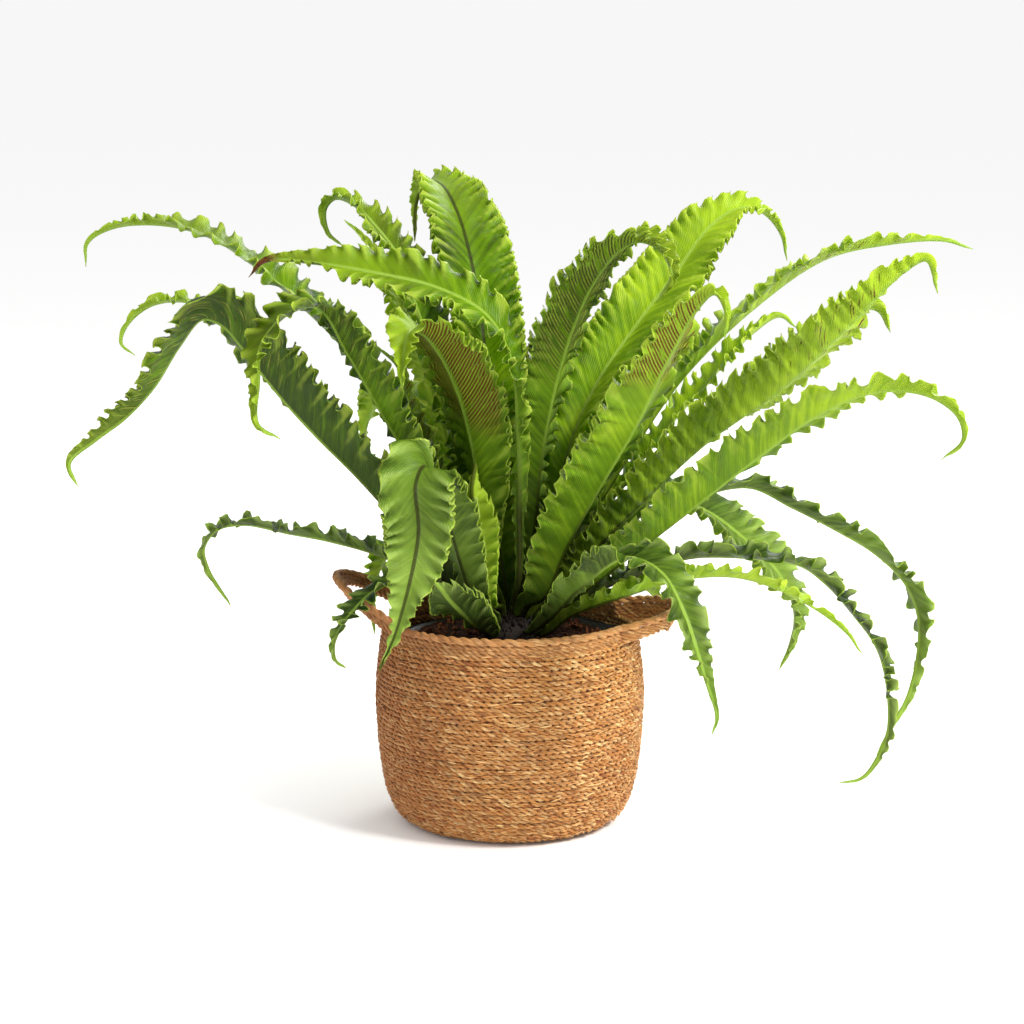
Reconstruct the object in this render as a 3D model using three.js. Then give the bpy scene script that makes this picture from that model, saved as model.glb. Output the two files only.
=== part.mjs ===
// A wavy bird's nest fern in its nursery pot, standing in a lined basket with two loop handles.
// Millimetres, +Z up. The origin is the middle of the basket's base, and the front faces -Y.

import * as THREE from 'three';
import { mergeVertices } from 'three/addons/utils/BufferGeometryUtils.js';

const GAP = 0.3; // between pieces that rest on each other

// Basket
const BASKET_WALL = 6;
const BASKET_SEGMENTS = 32;
const COIL_COUNT = 12; // raised rows up the wall
const COIL_RELIEF = 1.6;
const WALL_TOP = 180;
const FLOOR_THICKNESS = 6;
const FLOOR_CORNER = 4; // the inside wall meets the floor this far further in
const INSIDE_STEPS = 7;
const OUTLINE_SAMPLES = 60;
// Outside of the wall, [radius, height], from the base's edge up to the rim
const BASKET_OUTLINE = [
  [92, 0], [105, 9], [114, 26], [119, 48], [123, 84], [124.5, 125], [122, 155], [118.5, WALL_TOP],
];

// The braided strap on top of the wall, which leaves it at the sides as two loop handles
const STRAP_HEIGHT = 15;
const STRAP_THICKNESS = 7;
const STRAP_RADIUS = 115.5; // to the middle of the strap's thickness
const STRAP_STATIONS = 84;
const ARCH_POWER = 0.8; // below 1 a handle leaves the rim steeply and is broad at its top
const HANDLES = [
  { azimuth: 180, halfSpan: 34, reach: 42, rise: 38, lean: 35 },
  { azimuth: 0, halfSpan: 30, reach: 37, rise: 9, lean: 15 },
];

// Plastic lining
const LINER_THICKNESS = 1;
const LINER_HEIGHTS = [26, 60, 100, 140, 176];
const LINER_CLEARANCE = 2;
const LINER_CORNER = 12; // width of the slope between the lining's floor and its wall

// Nursery pot
const POT = { floorRadius: 76, topRadius: 101, height: 162, wall: 2, lip: 4, lipHeight: 8 };
const POT_SEGMENTS = 24;
const POT_BASE = FLOOR_THICKNESS + LINER_THICKNESS + 2 * GAP;
const POT_TOP = POT_BASE + POT.height;

// Soil
const SOIL_TOP = 172;
const SOIL_DEPTH = 130;
const SOIL_CLEARANCE = 0.9; // to the pot's wall
const SOIL_EDGE = { width: 2, drop: 3 };
const SOIL_RINGS = [80, 60, 40];
const SOIL_LEVEL_RADIUS = 45; // level round the crown, lumpy outside
const SOIL_LUMP = 2.4;

// Crown, the scaly stub that the fronds grow from
const CROWN_RADIUS = 27;
const CROWN_SINK = 5; // the middle of its dome lies this far below the soil
const CROWN_SEGMENTS = 20;
const CROWN_RINGS = 7;

// Fronds
const BLADE_THICKNESS = 0.9;
const MIDRIB_THICKNESS = 2.4;
const STALK_HALF_WIDTH = 3.6;
const TIP_HALF_WIDTH = 1.4;
const LEAVING_LENGTH = 12; // straight out of the crown, before the path's first point
const STATION_STEP = 15.5; // each step is half a wave of the margin
const TAIL_POWER = 1.15;
const WAVE_HEIGHT = 6;
const WAVE_HEIGHT_SHARE = 0.5; // at most this share of the half width
const WAVE_NOTCH = 0.12; // share of the half width that the margin draws in and out by
const WAVE_FROM = 0.08; // shares of the length between which the waves grow
const WAVE_TO = 0.24;
const ROLL_FROM = 0.1; // shares of the length between which a blade takes its roll
const ROLL_TO = 0.65;
const ROOT_FOLD = 40; // degrees that each half of a blade is folded up by, at its root and its tip
const TIP_FOLD = 18;
const FINE_SAMPLES = 240;

// Each frond runs through [reach, height] points: mm out from the plant's axis along its azimuth, and above
// the soil. A third number is mm sideways, positive to the left when looking out along the azimuth.
// Azimuth 0 is the right-hand side, 90 the back, 180 the left and 270 the front.
// rise is the angle at which it leaves the crown, and roll turns the blade about its midrib by the tip.
// widest is where along it the blade is broadest, and a lower base makes it fuller below that place.
const FRONDS = [
  // Standing fronds in the middle
  { name: 'frond_centre_bent', azimuth: 283, rise: 70, halfWidth: 29, widest: 0.72, base: 1.3, roll: -150,
    path: [[46, 66, -2], [63, 130, -6], [72, 200, -9], [69, 262, -14], [57, 304, -34],
      [41, 328, -76], [28, 339, -120], [12, 348, -175], [2, 350, -222], [-4, 336, -236]] },
  { name: 'frond_centre_front', azimuth: 320, rise: 75, halfWidth: 42, widest: 0.63, base: 1, roll: 0,
    path: [[28, 94], [36, 160], [50, 225], [72, 288], [96, 332], [124, 362], [148, 372], [171, 364],
      [181, 345], [166, 320]] },
  { name: 'frond_centre_tall', azimuth: 113, rise: 78, halfWidth: 42, widest: 0.6, base: 0.6, roll: 0,
    path: [[30, 95], [44, 190], [66, 279], [94, 340], [125, 379], [162, 402], [200, 404],
      [230, 384], [238, 344]] },
  { name: 'frond_centre_back', azimuth: 62, rise: 66, halfWidth: 28, widest: 0.58, base: 1.4, roll: 0,
    path: [[38, 64], [74, 124], [116, 176], [172, 228], [224, 266], [266, 284]] },
  { name: 'frond_left_front_spotted', azimuth: 226, rise: 72, halfWidth: 49, widest: 0.62, base: 1,
    roll: 0,
    path: [[30, 60], [38, 125], [48, 180], [66, 232], [88, 268], [114, 290, 4], [134, 293, 8],
      [144, 276, 12], [148, 246, 14]] },
  { name: 'frond_left_back_glossy', azimuth: 147, rise: 66, halfWidth: 34, widest: 0.56, base: 1,
    roll: 0,
    path: [[44, 90], [68, 190], [94, 276], [112, 318], [124, 345], [149, 371], [175, 390],
      [195, 394], [206, 383], [202, 362], [185, 350]] },
  { name: 'frond_right_back_tall', azimuth: 34, rise: 64, halfWidth: 40, widest: 0.55, base: 1.1, roll: 30,
    path: [[42, 80], [66, 167], [97, 226], [147, 283], [190, 327], [229, 367], [265, 382],
      [293, 376], [315, 354], [322, 329]] },
  { name: 'frond_right_front_spotted', azimuth: 318, rise: 62, halfWidth: 48, widest: 0.52, base: 0.68,
    roll: 0,
    path: [[42, 42], [66, 88], [103, 145], [148, 210], [184, 272], [215, 318], [234, 333],
      [245, 320], [245, 295]] },
  { name: 'frond_front_pale', azimuth: 244, rise: 62, halfWidth: 22, widest: 0.68, base: 1, roll: 0,
    path: [[42, 36], [57, 68], [71, 118], [78, 149], [69, 173]] },
  // Rising and arching fronds
  { name: 'frond_right_top', azimuth: 16, rise: 56, halfWidth: 38, widest: 0.48, base: 1.2, roll: -15,
    path: [[52, 68], [104, 148], [168, 236], [240, 300], [305, 340], [365, 352], [425, 354],
      [455, 345]] },
  { name: 'frond_right_wide', azimuth: 344, rise: 50, halfWidth: 52, widest: 0.59, base: 1, roll: -25,
    path: [[58, 62], [116, 124], [182, 188], [250, 240], [315, 304], [355, 345], [375, 356],
      [385, 328]] },
  { name: 'frond_right_low', azimuth: 330, rise: 34, halfWidth: 42, widest: 0.46, base: 1.3, roll: -20,
    path: [[62, 38], [112, 78], [174, 127], [241, 181], [307, 230], [361, 253], [406, 252],
      [432, 236], [436, 217], [417, 199]] },
  { name: 'frond_right_middle', azimuth: 356, rise: 63, halfWidth: 22, widest: 0.87, base: 1.4, roll: 0,
    path: [[48, 66], [98, 135], [153, 191], [206, 237], [262, 278], [302, 302], [330, 304],
      [342, 284]] },
  { name: 'frond_right_back_middle', azimuth: 22, rise: 40, halfWidth: 22, widest: 0.68, base: 0.76,
    roll: 0,
    path: [[56, 60], [104, 122], [156, 182], [206, 232], [246, 270], [274, 284], [292, 272]] },
  { name: 'frond_left_top', azimuth: 162, rise: 58, halfWidth: 36, widest: 0.52, base: 1, roll: 0,
    path: [[52, 82], [106, 190], [160, 260], [210, 305], [250, 335], [295, 360], [345, 370],
      [395, 365], [420, 350], [422, 328]] },
  { name: 'frond_left_wide', azimuth: 199, rise: 44, halfWidth: 54, widest: 0.47, base: 1, roll: 20,
    path: [[60, 54], [112, 120], [147, 160], [179, 193], [206, 223], [231, 254], [250, 280],
      [266, 298], [284, 304], [304, 282], [328, 246], [354, 220], [380, 202], [403, 183],
      [396, 162]] },
  { name: 'frond_left_mid', azimuth: 169, rise: 46, halfWidth: 28, widest: 0.52, base: 1, roll: 0,
    path: [[64, 62], [128, 138], [184, 212], [236, 266], [290, 300], [335, 300], [362, 280],
      [368, 262], [355, 252]] },
  { name: 'frond_left_striped', azimuth: 213, rise: 58, halfWidth: 35, widest: 0.54, base: 1.4, roll: 0,
    path: [[52, 68], [88, 144], [135, 219], [170, 276], [198, 316], [228, 312], [253, 288],
      [257, 254], [258, 219], [236, 204]] },
  { name: 'frond_left_inner', azimuth: 190, rise: 67, halfWidth: 22, widest: 0.62, base: 1.4, roll: 0,
    path: [[38, 70], [57, 129], [78, 185], [91, 217], [103, 253], [120, 270]] },
  { name: 'frond_left_back_pale', azimuth: 128, rise: 56, halfWidth: 26, widest: 0.55, base: 1.2, roll: 0,
    path: [[52, 80], [82, 140], [114, 207], [154, 279], [199, 325], [240, 356], [262, 366]] },
  { name: 'frond_front_hanging', azimuth: 238, rise: 44, halfWidth: 36, widest: 0.55, base: 0.92, roll: -35,
    path: [[54, 34], [80, 76], [104, 130], [124, 164], [142, 178], [154, 164], [150, 122],
      [164, 80], [186, 40], [212, 10]] },
  // Low fronds
  { name: 'frond_right_far_arc', azimuth: 8, rise: 30, halfWidth: 26, widest: 0.5, base: 0.6, roll: -10,
    path: [[52, 36], [92, 66], [130, 96], [172, 124], [223, 134], [265, 114], [306, 92], [345, 68],
      [375, 38], [388, 7], [389, -27], [380, -70], [368, -94], [351, -127]] },
  { name: 'frond_right_dark', azimuth: 356, rise: 22, halfWidth: 22, widest: 0.5, base: 0.76, roll: 0,
    path: [[70, 38], [119, 60], [165, 76], [225, 76], [266, 70], [291, 52], [315, 25], [335, -2],
      [345, -30], [349, -82], [339, -111], [325, -130], [303, -135]] },
  { name: 'frond_right_front_light', azimuth: 338, rise: 16, halfWidth: 22, widest: 0.45, base: 0.76,
    roll: -20,
    path: [[60, 24], [115, 48], [172, 68], [225, 72], [280, 55], [320, 30], [334, 12]] },
  { name: 'frond_front_right_droop', azimuth: 307, rise: 24, halfWidth: 28, widest: 0.45, base: 1.4,
    roll: 0,
    path: [[62, 28], [109, 66], [168, 100], [218, 94], [250, 60], [274, 14], [290, -18],
      [284, -34]] },
  { name: 'frond_right_hanging', azimuth: 30, rise: 24, halfWidth: 28, widest: 0.6, base: 0.6, roll: 60,
    path: [[58, 34], [108, 80], [165, 116], [214, 98], [265, 62], [305, 23], [322, -16], [316, -48],
      [304, -70]] },
  { name: 'frond_right_behind', azimuth: 50, rise: 20, halfWidth: 20, widest: 0.5, base: 0.6, roll: 0,
    path: [[60, 24], [105, 38], [155, 36], [190, 20], [226, -4], [248, -30]] },
  { name: 'frond_left_low', azimuth: 182, rise: 32, halfWidth: 22, widest: 0.45, base: 1.1, roll: 10,
    path: [[60, 44], [112, 74], [163, 90], [203, 98], [243, 106], [268, 101], [280, 84], [276, 64],
      [266, 46], [256, 30]] },
  { name: 'frond_left_over_handle', azimuth: 208, rise: 26, halfWidth: 20, widest: 0.45, base: 0.6, roll: 0,
    path: [[62, 34], [88, 50], [118, 62], [141, 54], [160, 38], [172, 24], [178, 10], [176, -4],
      [166, -12]] },
  { name: 'frond_front_left_low', azimuth: 240, rise: 18, halfWidth: 26, widest: 0.6, base: 0.6, roll: 25,
    path: [[46, 12], [72, 28], [102, 50], [132, 74]] },
  // Back of the plant
  { name: 'frond_back_right', azimuth: 64, rise: 50, halfWidth: 38, widest: 0.5, base: 0.6, roll: 0,
    path: [[60, 70], [120, 135], [190, 190], [265, 220], [330, 215], [370, 180], [380, 140]] },
  { name: 'frond_back_middle', azimuth: 97, rise: 60, halfWidth: 36, widest: 0.5, base: 1.1, roll: 0,
    path: [[48, 85], [90, 165], [145, 238], [215, 272], [285, 266], [335, 225], [350, 178]] },
  { name: 'frond_back_left', azimuth: 117, rise: 44, halfWidth: 36, widest: 0.5, base: 0.6, roll: 0,
    path: [[64, 60], [128, 128], [190, 178], [248, 196], [295, 180], [325, 140], [330, 100]] },
  { name: 'frond_back_low_right', azimuth: 76, rise: 26, halfWidth: 24, widest: 0.5, base: 0.6, roll: 0,
    path: [[75, 40], [140, 72], [205, 78], [262, 48], [295, -5], [298, -50]] },
  { name: 'frond_back_low_left', azimuth: 103, rise: 24, halfWidth: 24, widest: 0.5, base: 0.6, roll: 0,
    path: [[75, 38], [140, 68], [205, 76], [265, 55], [305, 8], [318, -45]] },
  { name: 'frond_back_low_side', azimuth: 136, rise: 28, halfWidth: 22, widest: 0.5, base: 0.6, roll: 0,
    path: [[62, 36], [105, 62], [145, 66], [172, 42], [184, 6], [182, -28]] },
];

// Colours
const FROND_GREEN = 0x4f9636;
const PALE_GREEN = 0x7fb63f;
const material = (color, roughness) => new THREE.MeshStandardMaterial({ color, roughness, metalness: 0 });
const MATERIALS = {
  seagrass: material(0xb98245, 0.85),
  braid: material(0xa9743c, 0.85),
  liner: material(0x3a3c3c, 0.45),
  pot: material(0x26282a, 0.5),
  soil: material(0x3f2c1e, 0.95),
  crown: material(0x3b2a1c, 0.9),
  frond: material(FROND_GREEN, 0.42),
  paleFrond: material(PALE_GREEN, 0.42),
};
const PALE_FRONDS = [
  'frond_front_pale', 'frond_centre_back', 'frond_left_back_pale', 'frond_right_front_light',
];

const radians = THREE.MathUtils.degToRad;

// A mesh whose shared points are merged, so that it is one closed body
function solid(name, geometry, surface) {
  geometry.deleteAttribute('normal');
  geometry.deleteAttribute('uv');
  const closed = mergeVertices(geometry, 1e-4);
  closed.computeVertexNormals();
  const mesh = new THREE.Mesh(closed, surface);
  mesh.name = name;
  return mesh;
}

// A solid of revolution about +Z from [radius, height] points that run up the outside
function turned(name, profile, segments, surface) {
  const points = profile.map(([radius, height]) => new THREE.Vector2(radius, height));
  const geometry = new THREE.LatheGeometry(points, segments);
  geometry.rotateX(Math.PI / 2);
  return solid(name, geometry, surface);
}

// Points on a smooth line through the [radius, height] pairs
function smoothOutline(pairs, count) {
  const curve = new THREE.SplineCurve(pairs.map(([radius, height]) => new THREE.Vector2(radius, height)));
  return curve.getSpacedPoints(count);
}

function basketBody() {
  const rows = COIL_COUNT * 2;
  const outside = smoothOutline(BASKET_OUTLINE, rows).map((point, index) => {
    const inset = index % 2 === 0 && index > 0 && index < rows ? COIL_RELIEF : 0;
    return [point.x - inset, point.y];
  });
  const inside = smoothOutline(BASKET_OUTLINE, INSIDE_STEPS)
    .filter((point) => point.y > FLOOR_THICKNESS)
    .map((point) => [point.x - BASKET_WALL - COIL_RELIEF, point.y])
    .reverse();
  const floorRadius = inside[inside.length - 1][0] - FLOOR_CORNER;
  const profile = [[0, 0], ...outside, ...inside, [floorRadius, FLOOR_THICKNESS], [0, FLOOR_THICKNESS]];
  return turned('basket_body', profile, BASKET_SEGMENTS, MATERIALS.seagrass);
}

// How far along a handle's arch an azimuth lies: 0 off the handle, 1 at its middle
function archShare(azimuth, handle) {
  const away = Math.abs(THREE.MathUtils.euclideanModulo(azimuth - handle.azimuth + 180, 360) - 180);
  return away < handle.halfSpan ? Math.cos((away / handle.halfSpan) * Math.PI / 2) ** ARCH_POWER : 0;
}

// The strap's middle, and the two directions that its section is drawn along
function strapFrame(azimuth) {
  let reach = 0;
  let rise = 0;
  let lean = 0;
  for (const handle of HANDLES) {
    const share = archShare(azimuth, handle);
    reach += handle.reach * share;
    rise += handle.rise * share;
    lean += handle.lean * share;
  }
  const angle = radians(azimuth);
  const out = new THREE.Vector3(Math.cos(angle), Math.sin(angle), 0);
  const up = new THREE.Vector3(0, 0, 1);
  const middle = out.clone().multiplyScalar(STRAP_RADIUS + reach);
  middle.z = WALL_TOP + GAP + STRAP_HEIGHT / 2 + rise;
  const tilt = radians(lean);
  const broad = up.clone().multiplyScalar(Math.cos(tilt)).addScaledVector(out, Math.sin(tilt));
  const flat = out.clone().multiplyScalar(Math.cos(tilt)).addScaledVector(up, -Math.sin(tilt));
  return { middle, broad, flat };
}

function basketStrap() {
  const corners = [[-1, -1], [1, -1], [1, 1], [-1, 1]];
  const positions = [];
  for (let station = 0; station < STRAP_STATIONS; station += 1) {
    const { middle, broad, flat } = strapFrame((station / STRAP_STATIONS) * 360);
    for (const [across, along] of corners) {
      const corner = middle.clone()
        .addScaledVector(flat, (across * STRAP_THICKNESS) / 2)
        .addScaledVector(broad, (along * STRAP_HEIGHT) / 2);
      positions.push(corner.x, corner.y, corner.z);
    }
  }
  const indices = [];
  for (let station = 0; station < STRAP_STATIONS; station += 1) {
    const next = (station + 1) % STRAP_STATIONS;
    for (let side = 0; side < 4; side += 1) {
      const a = station * 4 + side;
      const b = station * 4 + ((side + 1) % 4);
      const c = next * 4 + ((side + 1) % 4);
      const d = next * 4 + side;
      indices.push(a, d, c, a, c, b);
    }
  }
  const geometry = new THREE.BufferGeometry();
  geometry.setAttribute('position', new THREE.Float32BufferAttribute(positions, 3));
  geometry.setIndex(indices);
  return solid('basket_rim_and_handles', geometry, MATERIALS.braid);
}

// Inside radius of the basket at a height
function basketInside(height) {
  const fine = smoothOutline(BASKET_OUTLINE, OUTLINE_SAMPLES);
  const nearest = fine.reduce((best, point) => (
    Math.abs(point.y - height) < Math.abs(best.y - height) ? point : best));
  return nearest.x - BASKET_WALL - COIL_RELIEF;
}

function plasticLiner() {
  const floor = FLOOR_THICKNESS + GAP;
  const outside = LINER_HEIGHTS.map((height) => [basketInside(height) - LINER_CLEARANCE, height]);
  const inside = outside.map(([radius, height]) => [radius - LINER_THICKNESS, height]).reverse();
  const corner = outside[0][0] - LINER_CORNER;
  const profile = [
    [0, floor], [corner, floor], ...outside,
    ...inside, [corner, floor + LINER_THICKNESS], [0, floor + LINER_THICKNESS],
  ];
  return turned('plastic_liner', profile, POT_SEGMENTS, MATERIALS.liner);
}

// Inside radius of the nursery pot at a height
function potInside(height) {
  const share = (height - POT_BASE) / POT.height;
  return POT.floorRadius + (POT.topRadius - POT.floorRadius) * share - POT.wall;
}

function nurseryPot() {
  const lipBottom = POT_TOP - POT.lipHeight;
  const lipRoot = potInside(lipBottom) + POT.wall;
  const floorTop = POT_BASE + POT.wall;
  const profile = [
    [0, POT_BASE], [POT.floorRadius, POT_BASE], [lipRoot, lipBottom], [lipRoot + POT.lip, lipBottom],
    [POT.topRadius + POT.lip, POT_TOP], [potInside(POT_TOP), POT_TOP],
    [potInside(floorTop), floorTop], [0, floorTop],
  ];
  return turned('nursery_pot', profile, POT_SEGMENTS, MATERIALS.pot);
}

function pottingSoil() {
  const bottom = SOIL_TOP - SOIL_DEPTH;
  const edge = potInside(SOIL_TOP) - SOIL_CLEARANCE - SOIL_EDGE.width;
  const profile = [
    [0, bottom], [potInside(bottom) - SOIL_CLEARANCE, bottom], [edge, SOIL_TOP - SOIL_EDGE.drop],
    ...SOIL_RINGS.map((radius) => [radius, SOIL_TOP]), [0, SOIL_TOP],
  ];
  const soil = turned('potting_soil', profile, POT_SEGMENTS, MATERIALS.soil);
  const position = soil.geometry.getAttribute('position');
  for (let index = 0; index < position.count; index += 1) {
    const [x, y, z] = [position.getX(index), position.getY(index), position.getZ(index)];
    const lumpy = z === SOIL_TOP && Math.hypot(x, y) > SOIL_LEVEL_RADIUS;
    if (lumpy) position.setZ(index, z - SOIL_LUMP * (0.5 + 0.5 * Math.sin(x * 0.9) * Math.cos(y * 0.7)));
  }
  return soil;
}

const crownCentre = new THREE.Vector3(0, 0, SOIL_TOP - CROWN_SINK);

function fernCrown() {
  const base = SOIL_TOP + GAP;
  const lowest = Math.asin((base - crownCentre.z) / CROWN_RADIUS);
  const profile = [[0, base]];
  for (let ring = 0; ring < CROWN_RINGS; ring += 1) {
    const angle = lowest + (Math.PI / 2 - lowest) * (ring / CROWN_RINGS);
    profile.push([CROWN_RADIUS * Math.cos(angle), crownCentre.z + CROWN_RADIUS * Math.sin(angle)]);
  }
  profile.push([0, crownCentre.z + CROWN_RADIUS]);
  return turned('fern_crown', profile, CROWN_SEGMENTS, MATERIALS.crown);
}

// The midrib's curve, from the crown's surface out through the frond's path
function midribCurve(frond) {
  const angle = radians(frond.azimuth);
  const out = new THREE.Vector3(Math.cos(angle), Math.sin(angle), 0);
  const side = new THREE.Vector3(-Math.sin(angle), Math.cos(angle), 0);
  const rise = radians(frond.rise);
  const along = out.clone().multiplyScalar(Math.cos(rise)).add(new THREE.Vector3(0, 0, Math.sin(rise)));
  const root = crownCentre.clone().addScaledVector(along, CROWN_RADIUS + GAP);
  const leaving = root.clone().addScaledVector(along, LEAVING_LENGTH);
  const points = frond.path.map(([reach, height, aside = 0]) => (
    new THREE.Vector3(0, 0, SOIL_TOP + height).addScaledVector(out, reach).addScaledVector(side, aside)));
  return new THREE.CatmullRomCurve3([root, leaving, ...points], false, 'centripetal');
}

// Evenly spaced points on the midrib, each with its tangent, its upper side and its width direction
function midribFrames(frond) {
  const curve = midribCurve(frond);
  const angle = radians(frond.azimuth);
  const points = curve.getSpacedPoints(FINE_SAMPLES);
  const frames = [];
  let upper = new THREE.Vector3(-Math.cos(angle), -Math.sin(angle), 0);
  points.forEach((point, index) => {
    const before = points[Math.max(index - 1, 0)];
    const after = points[Math.min(index + 1, FINE_SAMPLES)];
    const tangent = after.clone().sub(before).normalize();
    upper = upper.clone().addScaledVector(tangent, -upper.dot(tangent)).normalize();
    const across = new THREE.Vector3().crossVectors(tangent, upper);
    const roll = radians(frond.roll) * THREE.MathUtils.smoothstep(index / FINE_SAMPLES, ROLL_FROM, ROLL_TO);
    const up = upper.clone().multiplyScalar(Math.cos(roll)).addScaledVector(across, Math.sin(roll));
    const right = new THREE.Vector3().crossVectors(tangent, up);
    frames.push({ point, up, right });
  });
  return { frames, length: curve.getLength() };
}

// Half width of a blade at a share of its length: a narrow stalk, a broad middle and a long tail
function halfWidthAt(share, frond) {
  const bulge = Math.sin(Math.PI * share ** (Math.log(0.5) / Math.log(frond.widest)));
  const ends = STALK_HALF_WIDTH + (TIP_HALF_WIDTH - STALK_HALF_WIDTH) * share;
  const power = share < frond.widest ? frond.base : TAIL_POWER;
  return ends + (frond.halfWidth - ends) * Math.max(bulge, 0) ** power;
}

// Height of the margin's waves, none on the stalk and less on the narrow tail
function waveAt(share, halfWidth) {
  const start = THREE.MathUtils.smoothstep(share, WAVE_FROM, WAVE_TO);
  return start * Math.min(WAVE_HEIGHT, WAVE_HEIGHT_SHARE * halfWidth);
}

// Angle between each half of the blade and the flat, folded up along the midrib
function foldAt(share) {
  return radians(THREE.MathUtils.lerp(ROOT_FOLD, TIP_FOLD, share));
}

// The six points of a blade's section: upper margin, midrib and margin, then the same below
function bladeSection(frame, share, wave, halfWidth) {
  const fold = foldAt(share);
  const thin = BLADE_THICKNESS / 2;
  const thick = THREE.MathUtils.lerp(MIDRIB_THICKNESS, BLADE_THICKNESS, Math.sqrt(share)) / 2;
  const place = (side, reach, lift, offset) => {
    const across = reach * Math.cos(fold) - (lift + offset) * Math.sin(fold);
    const height = reach * Math.sin(fold) + (lift + offset) * Math.cos(fold);
    return frame.point.clone().addScaledVector(frame.right, side * across).addScaledVector(frame.up, height);
  };
  const rib = (offset) => frame.point.clone().addScaledVector(frame.up, offset);
  const height = waveAt(share, halfWidth);
  const margin = (side) => ({
    reach: halfWidth * (1 + side * wave * WAVE_NOTCH),
    lift: side * wave * height,
  });
  const right = margin(1);
  const left = margin(-1);
  return [
    place(-1, left.reach, left.lift, thin), rib(thick), place(1, right.reach, right.lift, thin),
    place(-1, left.reach, left.lift, -thin), rib(-thick), place(1, right.reach, right.lift, -thin),
  ];
}

function frondMesh(frond) {
  const { frames, length } = midribFrames(frond);
  const steps = Math.round(length / STATION_STEP);
  const sections = [];
  for (let station = 0; station <= steps; station += 1) {
    const share = station / steps;
    const frame = frames[Math.round(share * FINE_SAMPLES)];
    const wave = station % 2 === 0 ? 1 : -1;
    sections.push(bladeSection(frame, share, wave, halfWidthAt(share, frond)));
  }
  const positions = sections.flat().flatMap((point) => [point.x, point.y, point.z]);
  const indices = [];
  const quad = (a, b, c, d) => indices.push(a, b, c, a, c, d);
  for (let station = 0; station < steps; station += 1) {
    const here = station * 6;
    const next = here + 6;
    for (const half of [0, 1]) {
      quad(here + half, here + half + 1, next + half + 1, next + half);
      indices.push(here + half + 3, next + half + 4, here + half + 4);
      indices.push(here + half + 3, next + half + 3, next + half + 4);
    }
    quad(here + 2, here + 5, next + 5, next + 2);
    quad(here + 3, here, next, next + 3);
  }
  const last = steps * 6;
  quad(0, 3, 4, 1);
  quad(1, 4, 5, 2);
  quad(last + 1, last + 4, last + 3, last);
  quad(last + 2, last + 5, last + 4, last + 1);
  const geometry = new THREE.BufferGeometry();
  geometry.setAttribute('position', new THREE.Float32BufferAttribute(positions, 3));
  geometry.setIndex(indices);
  const surface = PALE_FRONDS.includes(frond.name) ? MATERIALS.paleFrond : MATERIALS.frond;
  return solid(frond.name, geometry, surface);
}

const fern = new THREE.Group();
fern.name = 'birds_nest_fern_in_basket';
fern.add(basketBody(), basketStrap(), plasticLiner(), nurseryPot(), pottingSoil(), fernCrown());
fern.add(...FRONDS.map(frondMesh));

export default fern;
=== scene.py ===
# %% [markdown]
# A wavy bird's nest fern in a seagrass basket.
#
# The model of the frame gives the true size and place of every piece. This lesson dresses it: it
# sweeps each frond's blade along its midrib, twists the basket's ropes, and gives each surface a
# finish that reads where it lies on the leaf or along the rope. Lengths are in metres, +Z is up and
# the front faces -Y.

import math
from collections import namedtuple

import bmesh
import bpy
import numpy as np
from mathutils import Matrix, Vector


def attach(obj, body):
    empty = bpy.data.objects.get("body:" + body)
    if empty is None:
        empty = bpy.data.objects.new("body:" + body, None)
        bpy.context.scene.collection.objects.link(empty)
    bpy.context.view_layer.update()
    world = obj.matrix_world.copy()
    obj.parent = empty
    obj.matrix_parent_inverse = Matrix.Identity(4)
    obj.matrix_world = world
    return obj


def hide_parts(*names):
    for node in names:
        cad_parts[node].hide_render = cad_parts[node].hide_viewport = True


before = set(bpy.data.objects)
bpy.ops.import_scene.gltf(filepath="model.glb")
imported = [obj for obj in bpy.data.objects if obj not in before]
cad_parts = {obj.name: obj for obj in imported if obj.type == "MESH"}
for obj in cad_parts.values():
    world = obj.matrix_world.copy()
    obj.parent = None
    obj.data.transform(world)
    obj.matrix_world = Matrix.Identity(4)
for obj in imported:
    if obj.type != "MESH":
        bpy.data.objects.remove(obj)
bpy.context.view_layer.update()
MM = 0.001

# %% [markdown]
# The photograph was taken from a little above the plant, with a long lens. The rim of the basket
# shows as a thin ellipse, and its shape gives the camera's height: ten and a half degrees. A long
# lens from 2.6 m keeps the fronds at the front from growing too large.

# %% Camera
CAMERA_ELEVATION = math.radians(10.5)
CAMERA_DISTANCE = 2.6
CAMERA_AIM = Vector((0.002, 0, 0.288))
CAMERA_LENS, SENSOR_WIDTH = 99.8, 36  # mm

camera = bpy.data.objects.new("camera", bpy.data.cameras.new("camera"))
camera.data.lens = CAMERA_LENS
camera.data.sensor_width = SENSOR_WIDTH
camera.location = CAMERA_AIM + CAMERA_DISTANCE * Vector(
    (0, -math.cos(CAMERA_ELEVATION), math.sin(CAMERA_ELEVATION)))
camera.rotation_euler = (math.pi / 2 - CAMERA_ELEVATION, 0, 0)
bpy.context.collection.objects.link(camera)
bpy.context.scene.camera = camera
print("camera at", [round(value, 3) for value in camera.location])

# %% [markdown]
# The studio is a pale floor under broad, soft lights. The key light stands to the right and a little
# in front, so the basket's left side is the darker one and the soft shadow falls to the left. A
# weaker light from behind makes the thin margins glow.

# %% Floor and lights
FLOOR_HALF = 30
LIT_POINT = (0, 0, 0.3)
WHITE = (1, 1, 1)
WORLD_STRENGTH = 0.93


def plain_material(name, colour, roughness):
    """A material with one colour, for the floor."""
    material = bpy.data.materials.new(name)
    material.use_nodes = True
    shader = material.node_tree.nodes["Principled BSDF"]
    shader.inputs["Base Color"].default_value = (*colour, 1)
    shader.inputs["Roughness"].default_value = roughness
    shader.inputs["Specular IOR Level"].default_value = 0
    return material


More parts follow.
